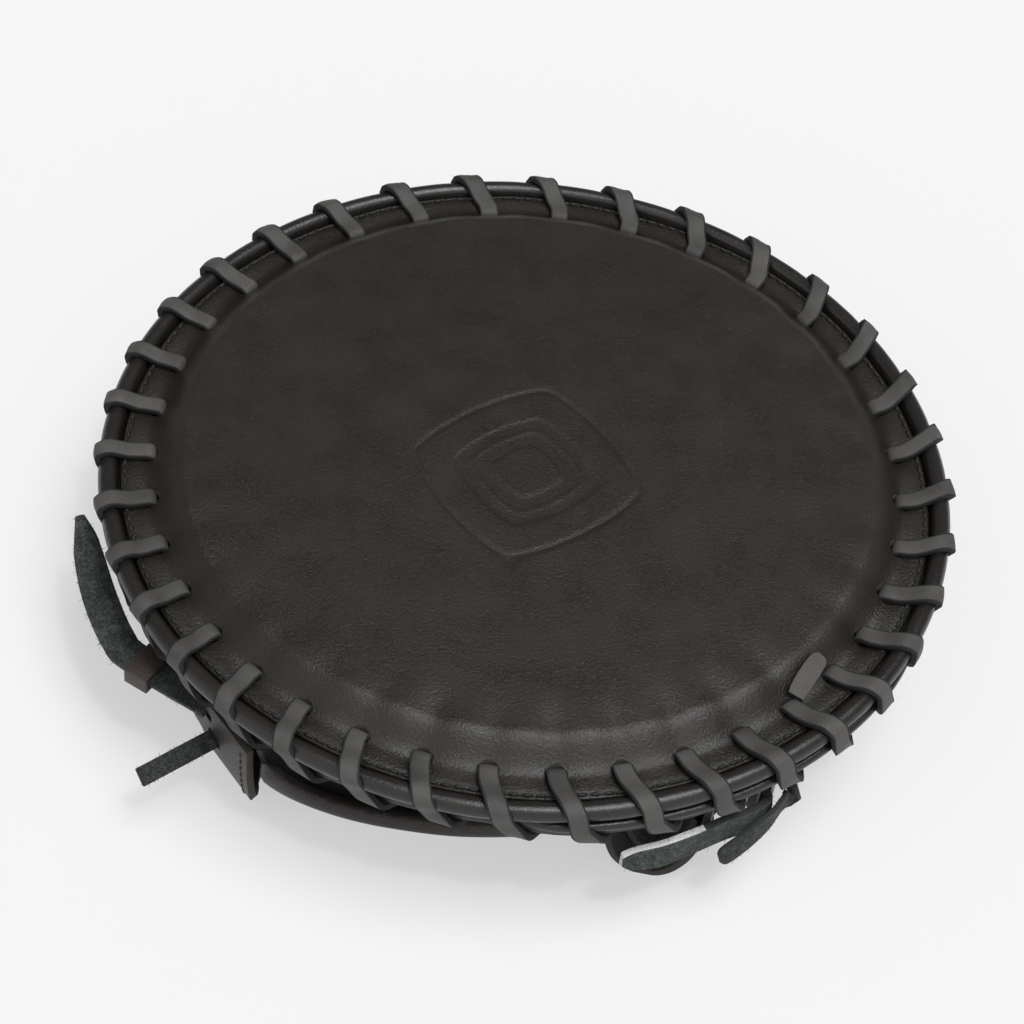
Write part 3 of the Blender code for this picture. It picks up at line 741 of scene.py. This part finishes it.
# Felt and board.
# Inside the pad, and never seen: pressed wool felt that gives the face its crown, and the stiff
# board under it.
felt, tree, shader = new_material("wool felt", (0.32, 0.31, 0.29), 0.95)
wool = spots(tree, 1400, 5, 0.7)
fluff = blended(tree, wool, (0.24, 0.23, 0.21), (0.42, 0.41, 0.38), 0.3, 0.7)
wire(tree, (fluff, shader.inputs["Base Color"]))
bumped(tree, shader, wool, 0.0004)
board, tree, shader = new_material("stiff board", (0.05, 0.05, 0.05), 0.6)
mottle = blended(tree, spots(tree, 500), (0.040, 0.040, 0.040), (0.065, 0.064, 0.062))
wire(tree, (mottle, shader.inputs["Base Color"]))
bumped(tree, shader, spots(tree, 900), 0.0001)
for node, finish in (("felt_pad", felt), ("stiffener_board", board)):
    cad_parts[node].data.materials.clear()
    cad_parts[node].data.materials.append(finish)


# Finger stalls.
# A tapered tube of soft glove leather for the thumb and one for the little finger, sewn along both
# legs to the back of the pad, with a turned hem round the mouth and the toe gathered shut.
HANG_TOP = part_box("thumb_stall")[1].z
STALL_SQUARE = 2.3
STALL_LEATHER = 0.0022
STALL_CREASES = 0.0016
SEAM_PITCH = 0.0034
# Share of the length, then the shares of the full width and of the full depth
STALL_TAPER = (
    (0, 1, 1),
    (0.46, 1, 1),
    (0.68, 0.93, 0.88),
    (0.86, 0.82, 0.66),
    (1, 0.66, 0.38),
    (1.1, 0.5, 0.12),
)
# Each stall: the middle of its mouth, the way outwards along a section, its run, half width and length
STALLS = {
    "thumb": (
        Vector((-0.0585, -0.0950, 0)),
        Vector((0, -1, 0)),
        at(1, math.radians(135), 0),
        0.0170,
        0.043,
    ),
    "little_finger": (
        Vector((0.0550, -0.1015, 0)),
        Vector((1, 0, 0)),
        at(1, math.radians(78), 0),
        0.0155,
        0.060,
    ),
}


def arch(half_width, depth, start, end, count, square):
    """Points (across, down) of a hanging arch between two angles in degrees, 180 being its left top."""
    points = []
    for step in range(count + 1):
        a = math.radians(start + (end - start) * step / count)
        across = math.copysign(abs(math.cos(a)) ** (2 / square), math.cos(a)) * half_width
        points.append((across, depth * abs(math.sin(a)) ** (2 / square)))
    return points


def between(table, share):
    """A row of a table of (share, value, value), read between its rows."""
    for low, high in zip(table, table[1:]):
        if share <= high[0]:
            t = (share - low[0]) / (high[0] - low[0])
            t = t * t * (3 - 2 * t)
            return [a + (b - a) * t for a, b in zip(low[1:], high[1:])]
    return table[-1][1:]


def stall_rows(stall, inset, first, last, count, start=180.0, end=0.0, columns=44, creased=0.0):
    """Sections of a stall, with the inset taken square to its outer side and the leather creased."""
    middle, outwards, run, half_width, length = STALLS[stall]
    up = Vector((0, 0, 1))
    rows = []
    for step in range(count + 1):
        share = first + (last - first) * step / count
        wide, deep = between(STALL_TAPER, share)
        along = length * share
        reach = half_width * wide - inset / outwards.cross(run).length
        row = []
        for across, down in arch(reach, HANG_TOP * deep - inset, start, end, columns, STALL_SQUARE):
            folds = noise.noise((across * 70, along * 26 - down * 30, half_width * 900))
            folds += 0.5 * noise.noise((across * 160, along * 70, half_width * 300))
            push = creased * folds * ease(down / 0.012) * ease((HANG_TOP - down) / 0.008)
            spot = middle + run * (along + push * 0.4) + outwards * across * (1 - push * 24)
            row.append(spot + up * max(HANG_TOP - down, 0.0003))
        rows.append(row)
    return rows


def stall_wall(stall, share, height):
    """A place on the outside of a stall's outer wall."""
    middle, outwards, run, half_width, length = STALLS[stall]
    wide, deep = between(STALL_TAPER, share)
    full = (1 - ((HANG_TOP - height) / (HANG_TOP * deep)) ** STALL_SQUARE) ** (1 / STALL_SQUARE)
    return middle + run * length * share + outwards * half_width * wide * full + Vector((0, 0, height))


hand_leather = leather(
    "hand leather",
    (0.0120, 0.0095, 0.0080),
    (0.0230, 0.0185, 0.0155),
    0.55,
    0.40,
    scale=700,
    crease=1.4,
    depth=0.00022,
)
hand_edge = raw_edge("hand leather edge", (0.016, 0.013, 0.011), (0.060, 0.050, 0.042))
flesh = raw_edge("flesh side", (0.018, 0.017, 0.016), (0.042, 0.040, 0.038))


def outward(obj, centre):
    """Turns an open surface's faces away from a point inside it."""
    facing = sum((p.center - centre).dot(p.normal) * p.area for p in obj.data.polygons)
    if facing < 0:
        edit_all(obj)
        bpy.ops.mesh.flip_normals()
        bpy.ops.object.mode_set(mode="OBJECT")


def shell(name, rows, centre, thickness, outside, inside, rim):
    """A leather shell: an open surface thickened inwards, its inner side and edges finished apart."""
    obj = shaped_grid(name, rows)
    outward(obj, centre)
    for finish in (outside, inside, rim):
        obj.data.materials.append(finish)
    apply(obj, "SOLIDIFY", thickness=thickness, offset=-1, material_offset=1, material_offset_rim=2)
    apply(obj, "BEVEL", width=thickness * 0.3, segments=2, limit_method="ANGLE", angle_limit=math.radians(50))
    smooth(obj, 50)
    return obj


def sewn_row(name, row, pitch, out, size=(0.0026, 0.0008, 0.0007)):
    """Stitches along a row of points, pushed out a little from it."""
    lengths = [(b - a).length for a, b in zip(row, row[1:])]
    total = sum(lengths)
    places = []
    for step in range(int(total / pitch)):
        goal = pitch * (step + 0.5)
        index = 0
        while goal > lengths[index]:
            goal -= lengths[index]
            index += 1
        along = (row[index + 1] - row[index]).normalized()
        spot = row[index].lerp(row[index + 1], goal / lengths[index])
        normal = out(spot).normalized()
        side = along.cross(normal).normalized()
        turn = Matrix((side, along, side.cross(along))).transposed().to_4x4()
        places.append(Matrix.Translation(spot + normal * 0.0001) @ turn)
    return repeated(stitch(*size), name, places)


def cut_box(obj, centre, along, across, size):
    """Cuts a slot with a box laid along one direction and across another."""
    bpy.ops.object.select_all(action="DESELECT")
    bpy.ops.mesh.primitive_cube_add(size=1)
    knife = bpy.context.object
    x = Vector(along).normalized()
    z = x.cross(Vector(across)).normalized()
    turn = Matrix((x, z.cross(x), z)).transposed().to_4x4()
    knife.data.transform(Matrix.Translation(centre) @ turn @ Matrix.Diagonal((*size, 1)))
    apply(obj, "BOOLEAN", operation="DIFFERENCE", object=knife)
    bpy.data.objects.remove(knife)


stalls = {}
for stall, (middle, _, run, _, length) in STALLS.items():
    heart = middle + run * length / 2 + Vector((0, 0, 0.024))
    rows = stall_rows(stall, 0, 0, 1.1, 44, creased=STALL_CREASES)
    stalls[stall] = shell(stall + "_stall_sewn", rows, heart, STALL_LEATHER, hand_leather, flesh, hand_edge)
    hem = stall_rows(stall, 0, 0.075, 0.076, 1, creased=STALL_CREASES)[0]
    seam = sewn_row(
        stall + "_stall_stitches",
        hem,
        SEAM_PITCH,
        lambda spot, heart=heart, run=run: run.cross((spot - heart).cross(run)),
    )
    hang(seam, "hand_leather")


# Finger loops.
# A suede strap inside each stall that closes on the finger. Its loose side comes out through the
# wall as the strap end.
nap, takes, gives = new_group("suede nap", (("Scale", 1500), ("Contrast", 1.0)), ("Height", "Fleck"))
fine = spots(nap, takes.outputs["Scale"], 4, 0.75)
tufts = spots(nap, number(nap, "MULTIPLY", takes.outputs["Scale"], 0.25), 3, 0.6)
fleck = number(nap, "MULTIPLY_ADD", number(nap, "SUBTRACT", fine, 0.5), takes.outputs["Contrast"], tufts)
wire(nap, (number(nap, "ADD", fine, tufts), gives.inputs["Height"]), (fleck, gives.inputs["Fleck"]))


def suede(name, dark, light, scale=1500, depth=0.0006, contrast=1.6):
    """The fleshy side of leather, with a nap that catches the light in flecks."""
    material, tree, shader = new_material(name, dark, 0.95)
    pattern = tree.nodes.new("ShaderNodeGroup")
    pattern.node_tree = nap
    pattern.inputs["Scale"].default_value = scale
    pattern.inputs["Contrast"].default_value = contrast
    shader.inputs["Specular IOR Level"].default_value = 0.15
    shader.inputs["Sheen Weight"].default_value = 0.12
    wire(tree, (blended(tree, pattern.outputs["Fleck"], dark, light, 0.35, 0.8), shader.inputs["Base Color"]))
    bumped(tree, shader, pattern.outputs["Height"], depth)
    return material


LOOP_START = 0.006
LOOP_END = 0.021
LOOP_LEATHER = 0.0018
LOOP_CLEARANCE = 0.0012
strap_suede = suede("strap suede", (0.020, 0.024, 0.024), (0.085, 0.098, 0.095))
# A pale cut edge: the keepers' own colour, and on the strap ends also a painted highlight where their edges
# face the light.
pale_edge_and_highlight = raw_edge("pale cut edge and painted highlight", (0.42, 0.43, 0.43), (0.82, 0.83, 0.83))
dark_edge = raw_edge("dark cut edge", (0.012, 0.013, 0.013), (0.050, 0.055, 0.054))
for name, (middle, _, run, _, length) in STALLS.items():
    heart = middle + run * (LOOP_START + LOOP_END) / 2 + Vector((0, 0, 0.024))
    first, last = LOOP_START / length, LOOP_END / length
    rows = stall_rows(name, STALL_LEATHER + LOOP_CLEARANCE, first, last, 6, 180, 22, 30)
    loop = shell(name + "_loop_strap", rows, heart, LOOP_LEATHER, strap_suede, strap_suede, dark_edge)
    hang(loop, "suede", name + "_loop")
    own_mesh(loop)


# Finger sleeve.
# A wide, low sleeve for the three middle fingers, of the same soft leather with a brushed lining,
# sewn to the palm along both sides and closed over the fingertips.
SLEEVE_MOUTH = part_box("finger_sleeve")[0].y
SLEEVE_HALF_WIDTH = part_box("finger_sleeve")[1].x
SLEEVE_LENGTH = 0.060
SLEEVE_LEATHER = 0.0024
SLEEVE_LINING = 0.0012
SLEEVE_TAPER = (
    (0, 1, 1),
    (0.44, 1, 1),
    (0.66, 0.96, 0.92),
    (0.86, 0.88, 0.72),
    (1, 0.72, 0.42),
    (1.08, 0.6, 0.12),
)


def sleeve_rows(inset, last, count):
    rows = []
    for step in range(count + 1):
        share = last * step / count
        wide, deep = between(SLEEVE_TAPER, share)
        y = SLEEVE_MOUTH + SLEEVE_LENGTH * share
        row = []
        for across, down in arch(SLEEVE_HALF_WIDTH * wide - inset, HANG_TOP * deep - inset, 180, 0, 60, 2.5):
            folds = noise.noise((across * 40, y * 60, 8)) + 0.6 * noise.noise((across * 110, y * 40, 3))
            dent = 0.0014 * folds * ease((down - 0.004) / 0.012) * ease((HANG_TOP - 0.0012 - down) / 0.006)
            row.append(Vector((across, y, max(HANG_TOP - down + dent, 0.0003))))
        rows.append(row)
    return rows


middle = Vector((0, SLEEVE_MOUTH + 0.02, 0.024))
rows = sleeve_rows(0, 1.08, 40)
sleeve = shell("finger_sleeve_sewn", rows, middle, SLEEVE_LEATHER, hand_leather, flesh, hand_edge)
hang(sleeve, "hand_leather", "finger_sleeve")
brushed = raw_edge("brushed lining", (0.022, 0.021, 0.020), (0.055, 0.052, 0.050))
rows = sleeve_rows(SLEEVE_LEATHER + 0.0009, 0.66, 24)
lining = shell("finger_sleeve_brushed", rows, middle, SLEEVE_LINING, brushed, brushed, brushed)
hang(lining, "lining", "finger_sleeve_lining")
for name, share in (("sleeve_mouth_stitches", 0.06), ("sleeve_toe_stitches", 0.93)):
    row = sleeve_rows(0, share, 1)[1]
    seam = sewn_row(name, row, SEAM_PITCH, lambda spot: Vector((spot.x * 0.4, 0, spot.z - 0.03)))
    hang(seam, "hand_leather")


# Wrist band.
# A broad band over the back of the wrist: leather outside, a thick roll of piping along the heel,
# and a soft felt cushion in a brushed cover inside.
BAND_CENTRE = (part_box("wrist_band")[1].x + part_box("wrist_band")[0].x) / 2
BAND_HALF_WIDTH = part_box("wrist_band")[1].x - BAND_CENTRE
BAND_SKEW = 0.08
BAND_WIDTH = 0.040
BAND_LEATHER = 0.0022
BAND_SWEEP = 0.010
PIPING = 0.0031
CUSHION = 0.0068
CUSHION_EDGE = 0.0024
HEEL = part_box("wrist_band")[0].y + BAND_SWEEP + BAND_SKEW * BAND_HALF_WIDTH
BAND_DEPTH = HANG_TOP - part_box("wrist_band")[0].z


def band_row(edge_y, sweep, inset, start, end, count):
    """One section of the band, whose ends sweep towards the heel as they rise."""
    row = []
    for across, down in arch(BAND_HALF_WIDTH - inset, BAND_DEPTH - inset, start, end, count, 2.0):
        y = edge_y - sweep * (1 - down / BAND_DEPTH) + across * BAND_SKEW
        row.append(Vector((BAND_CENTRE + across, y, HANG_TOP - down)))
    return row


def band_rows(count):
    rows = []
    for step in range(count + 1):
        share = step / count
        rows.append(band_row(HEEL + BAND_WIDTH * share, BAND_SWEEP * (1 - share), 0, 180, 0, 72))
    return rows


middle = Vector((BAND_CENTRE, HEEL + BAND_WIDTH / 2, 0.03))
rows = band_rows(16)
for row in rows:
    for point in row:
        folds = noise.noise((point.x * 45, point.y * 70, 12))
        folds += 0.4 * noise.noise((point.x * 120, point.y * 150, 6))
        point.z += 0.0010 * folds * ease((HANG_TOP - point.z) / 0.02)
        point.z = max(point.z, 0.0004)
band = shell("wrist_band_sewn", rows, middle, BAND_LEATHER, hand_leather, flesh, hand_edge)
hang(band, "hand_leather", "wrist_band")
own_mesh(band)
for name, row in (("heel", band_rows(16)[2]), ("palm", band_rows(16)[15])):
    seam = sewn_row(
        "band_stitches_" + name,
        row,
        SEAM_PITCH,
        lambda spot: Vector((spot.x - BAND_CENTRE, 0, spot.z - 0.036)),
    )
    hang(seam, "hand_leather")
    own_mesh(seam)

route = band_row(HEEL - PIPING - 0.0003, BAND_SWEEP, PIPING, 178, 2, 60)
bpy.ops.curve.primitive_bezier_curve_add()
piping = bpy.context.object
piping.name = "wrist_band_roll"
piping.data.splines.clear()
spline = piping.data.splines.new("POLY")
spline.points.add(len(route) - 1)
for step, (point, place) in enumerate(zip(spline.points, route)):
    from_end = min(step, len(route) - 1 - step)
    point.co = (*place, 1)
    point.radius = 0.2 + 0.8 * ease(from_end / 5)
piping.data.bevel_depth = PIPING
piping.data.bevel_resolution = 6
piping.data.use_fill_caps = True
bpy.ops.object.select_all(action="DESELECT")
piping.select_set(True)
bpy.context.view_layer.objects.active = piping
bpy.ops.object.convert(target="MESH")
piping = bpy.context.object
tidy(piping, 0.00002)
for vert in piping.data.vertices:
    x, y, z = vert.co
    puff = 1 + 0.05 * noise.noise((x * 60, y * 60, 2))
    vert.co.y = y * puff + (1 - puff) * (HEEL - PIPING + (x - BAND_CENTRE) * BAND_SKEW)
    vert.co.z = max(z, 0.0004)
piping.data.materials.append(hand_leather)
smooth(piping, 60)
hang(piping, "hand_leather", "wrist_band_piping")
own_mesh(piping)

rows = []
for k in range(17):
    row = band_row(HEEL + 0.003 + (BAND_WIDTH - 0.006) * k / 16, 0, BAND_LEATHER + 0.0006, 152, 28, 56)
    rows.append(row)
cushion = shaped_grid("wrist_cushion", rows)
outward(cushion, middle)
cushion.data.materials.append(brushed)
apply(cushion, "SOLIDIFY", thickness=CUSHION, offset=-1)
apply(cushion, "BEVEL", width=CUSHION_EDGE, segments=3, limit_method="ANGLE", angle_limit=math.radians(60))
apply(cushion, "SUBSURF", levels=1, render_levels=1)
smooth(cushion, 80)
hang(cushion, "lining", "wrist_padding", "wrist_lining", body="wrist_pad")


# Strap ends and keepers.
# The loose ends of the finger loops, suede side out with loose fibres; their cut edges are painted
# pale where they face the light, partly pale leather, partly a painted highlight. Each slides through a short
# keeper of brown leather.
STRAP_WIDTH = 0.0098
STRAP_LEATHER = 0.0020
SLOT_CLEARANCE = 0.0006
KEEPER_LEATHER = 0.0013
KEEPER_LENGTH = 0.0080
SLOT_LENGTH = 0.020
STRAP_TAIL = 0.0070
THUMB_STRAP_RUN = at(1, math.radians(157), 0)
THUMB_KEEPER_PLACE = 0.0155
LITTLE_FINGER_STRAP_RUN = at(1, math.radians(-54.236), 0)
LITTLE_FINGER_KEEPER_PLACE = 0.0130


def beyond_rim(outward, degrees, height):
    return at(PAD_RADIUS + outward, math.radians(degrees), height)


def frayed(obj, count, seed, length=0.0014):
    """Loose fibres that stand out of a suede piece, joined to it."""
    draw = random.Random(seed)
    mesh = obj.data
    picked = draw.choices(list(mesh.polygons), [p.area for p in mesh.polygons], k=count)
    places = []
    for polygon in picked:
        spot = polygon.center.lerp(mesh.vertices[draw.choice(polygon.vertices)].co, draw.uniform(0, 0.9))
        lean = Vector([draw.uniform(-1, 1) for _ in range(3)])
        out = (polygon.normal + lean * 0.8).normalized()
        turn = out.to_track_quat("Z", "Y").to_matrix().to_4x4()
        reach = length * draw.uniform(0.35, 1.2)
        places.append(Matrix.Translation(spot) @ turn @ Matrix.Diagonal((1, 1, reach / length, 1)))
    bpy.ops.object.select_all(action="DESELECT")
    bpy.ops.mesh.primitive_cone_add(vertices=3, radius1=0.00009, radius2=0.00003, depth=length)
    fibre = bpy.context.object
    fibre.data.transform(Matrix.Translation((0, 0, length * 0.42)))
    fibre.data.materials.append(dark_edge)
    fibres = repeated(fibre, obj.name + "_fibres", places)
    bpy.ops.object.select_all(action="DESELECT")
    fibres.select_set(True)
    obj.select_set(True)
    bpy.context.view_layer.objects.active = obj
    bpy.ops.object.join()


def strap_end(stall, stations, parts, cupped, pale_and_lit, fibres, seed):
    """A loop's loose end, whose cut edges are painted pale where the test says so: partly the leather's pale
    edge, partly a painted highlight on the edges that face the light.
    """
    route = curve_through(stations, parts)
    end = strap(stall + "_strap", route, STRAP_LEATHER, strap_suede, dark_edge, cupped=cupped)
    end.data.materials.append(pale_edge_and_highlight)
    for polygon in end.data.polygons:
        if polygon.material_index == 1 and pale_and_lit(polygon.center, polygon.normal):
            polygon.material_index = 2
    frayed(end, fibres, seed)
    hang(end, "suede", stall + "_strap_end", body=stall + "_strap")


def keeper(stall, centre, run, across, length):
    """A short loop of brown leather, folded round the strap end, with one raw edge showing."""
    opening = Vector((STRAP_WIDTH, STRAP_LEATHER)) + Vector((2, 2)) * SLOT_CLEARANCE
    outer = opening + Vector((2, 2)) * KEEPER_LEATHER
    bpy.ops.object.select_all(action="DESELECT")
    bpy.ops.mesh.primitive_cube_add(size=1)
    block = bpy.context.object
    block.name = stall + "_keeper_loop"
    x = Vector(run).normalized()
    z = x.cross(Vector(across)).normalized()
    place = Matrix.Translation(centre) @ Matrix((x, z.cross(x), z)).transposed().to_4x4()
    block.data.transform(place @ Matrix.Diagonal((length, *outer, 1)))
    block.data.materials.append(keeper_leather)
    cut_box(block, centre, run, across, (length * 1.5, *opening))
    apply(block, "BEVEL", width=0.00035, segments=3, limit_method="ANGLE", angle_limit=math.radians(50))
    block.data.materials.append(pale_edge_and_highlight)
    for polygon in block.data.polygons:
        if polygon.normal.dot(x) > 0.9:
            polygon.material_index = 1
    smooth(block, 50)
    hang(block, "keeper_leather", stall + "_keeper")


keeper_leather = leather(
    "keeper leather", (0.020, 0.014, 0.011), (0.036, 0.026, 0.021), 0.55, 0.42, scale=1100
)
up = Vector((0, 0, 1))
height = HANG_TOP - 0.0060
slot = stall_wall("thumb", 0.68, height)
run = THUMB_STRAP_RUN
stations = [
    [slot - run * STRAP_TAIL, up, STRAP_WIDTH],
    [slot + run * 0.0205, up, STRAP_WIDTH],
    [beyond_rim(0.0029, -143.9, height + 0.0005), Vector((-0.05, 0, 1)), STRAP_WIDTH],
    [beyond_rim(0.0033, -150.2, height + 0.0015), Vector((-0.10, 0, 1)), STRAP_WIDTH * 0.98],
    [beyond_rim(0.0036, -156.4, height + 0.0030), Vector((-0.20, 0.1, 1)), STRAP_WIDTH * 0.86],
    [beyond_rim(0.0040, -159.8, height + 0.0045), Vector((-0.28, 0.2, 1)), STRAP_WIDTH * 0.62],
    [beyond_rim(0.0052, -162.8, height + 0.0060), Vector((-0.28, 0.3, 1)), STRAP_WIDTH * 0.14],
]
# The thumb strap's edges near its tip that face +X, towards the lamp, are painted pale: a painted highlight
# on a pale edge.
strap_end("thumb", stations, 7, 0.0006, lambda centre, out: out.x > 0.4 and centre.y > -0.056, 700, 5)
across = up.cross(run)
strap_slot = (SLOT_LENGTH, STRAP_WIDTH + 2 * SLOT_CLEARANCE, STRAP_LEATHER + 2 * SLOT_CLEARANCE)
cut_box(stalls["thumb"], slot, run, across, strap_slot)
keeper("thumb", slot + run * THUMB_KEEPER_PLACE, run, across, KEEPER_LENGTH)

height = HANG_TOP - 0.0080
slot = stall_wall("little_finger", 0.44, height)
run = LITTLE_FINGER_STRAP_RUN
stations = [
    [slot - run * STRAP_TAIL, up.cross(run), STRAP_WIDTH],
    [slot + run * 0.0160, up.cross(run), STRAP_WIDTH],
    [beyond_rim(-0.0022, -47.6, height), Vector((-1.0, -0.1, 0)), STRAP_WIDTH],
    [beyond_rim(-0.0018, -50.2, height), Vector((-0.85, 0.4, 0)), STRAP_WIDTH],
    [beyond_rim(-0.0022, -53.2, height), Vector((-0.66, 0.75, 0)), STRAP_WIDTH],
    [beyond_rim(-0.0012, -57.6, height + 0.0004), Vector((-0.64, 0.77, 0)), STRAP_WIDTH],
    [beyond_rim(0.0004, -62.6, height + 0.0006), Vector((-0.6, 0.8, -0.1)), STRAP_WIDTH * 0.94],
    [beyond_rim(0.0008, -66.3, height + 0.0012), Vector((-0.55, 0.8, -0.2)), STRAP_WIDTH * 0.70],
    [beyond_rim(0.0010, -67.9, height + 0.0016), Vector((-0.5, 0.8, -0.2)), STRAP_WIDTH * 0.40],
]
# The little finger strap's upper edges, lit from above, are painted pale as a painted highlight, and all its
# edges nearer the stall than x 0.0484 are painted pale too.
strap_end(
    "little_finger",
    stations,
    6,
    0.0004,
    lambda centre, out: (out.z > 0.3 and centre.x < 0.069) or centre.x < 0.0484,
    420,
    8,
)
cut_box(stalls["little_finger"], slot, run, up, strap_slot)
keeper("little_finger", slot + run * LITTLE_FINGER_KEEPER_PLACE, run, up, KEEPER_LENGTH * 0.5)


# Tie laces.
# The narrow suede laces that tie the loops. Each comes out through its stall's wall and is cut
# off square or rounded a few centimetres out.
TIE_WIDTH = 0.0056
TIE_THICKNESS = 0.0015
tie_suede = suede("tie lace suede", (0.016, 0.018, 0.018), (0.060, 0.066, 0.064), 1900, 0.0003)


def tie_lace(stall, stations, parts, seed, body):
    lace = strap(stall + "_tie", curve_through(stations, parts), TIE_THICKNESS, tie_suede, dark_edge)
    frayed(lace, 160, seed, 0.0011)
    hang(lace, "tie_leather", stall + "_tie_lace", body=body)


hole = stall_wall("thumb", 0.40, HANG_TOP - 0.0145) - STALLS["thumb"][1] * STALL_LEATHER / 2
run = Vector((-0.70, -0.71, -0.05)).normalized()
flat = Vector((-0.75, 0.55, -0.9))
stations = [[hole + run * along, flat, TIE_WIDTH] for along in (0.0006, 0.0065, 0.0125, 0.0190, 0.0250)]
tie_lace("thumb", stations, 4, 11, "pad")
tie_slot = (SLOT_LENGTH, TIE_WIDTH + 2 * SLOT_CLEARANCE, TIE_THICKNESS + 2 * SLOT_CLEARANCE)
cut_box(stalls["thumb"], hole, run, run.cross(flat), tie_slot)

height = HANG_TOP - 0.0060
hole = stall_wall("little_finger", 0.60, height) - STALLS["little_finger"][1] * STALL_LEATHER / 2
run = LITTLE_FINGER_STRAP_RUN
flat = up.cross(run)
stations = [
    [hole + run * 0.0006, flat, TIE_WIDTH],
    [beyond_rim(-0.0030, -42.6, height + 0.0015), flat, TIE_WIDTH],
    [beyond_rim(0.0000, -45.4, height), Vector((-0.95, -0.1, -0.2)), TIE_WIDTH],
    [beyond_rim(0.0014, -48.2, height - 0.0030), Vector((-0.85, 0.4, -0.3)), TIE_WIDTH],
    [beyond_rim(0.0024, -51.3, height - 0.0056), Vector((-0.70, 0.6, -0.4)), TIE_WIDTH],
    [beyond_rim(0.0036, -54.3, height - 0.0068), Vector((-0.62, 0.6, -0.5)), TIE_WIDTH * 0.92],
    [beyond_rim(0.0039, -55.1, height - 0.0070), Vector((-0.60, 0.6, -0.5)), TIE_WIDTH * 0.5],
]
tie_lace("little_finger", stations, 5, 13, "little_finger_strap")
cut_box(stalls["little_finger"], hole, run, up, tie_slot)
for name, stall in stalls.items():
    hang(stall, "hand_leather", name + "_stall")
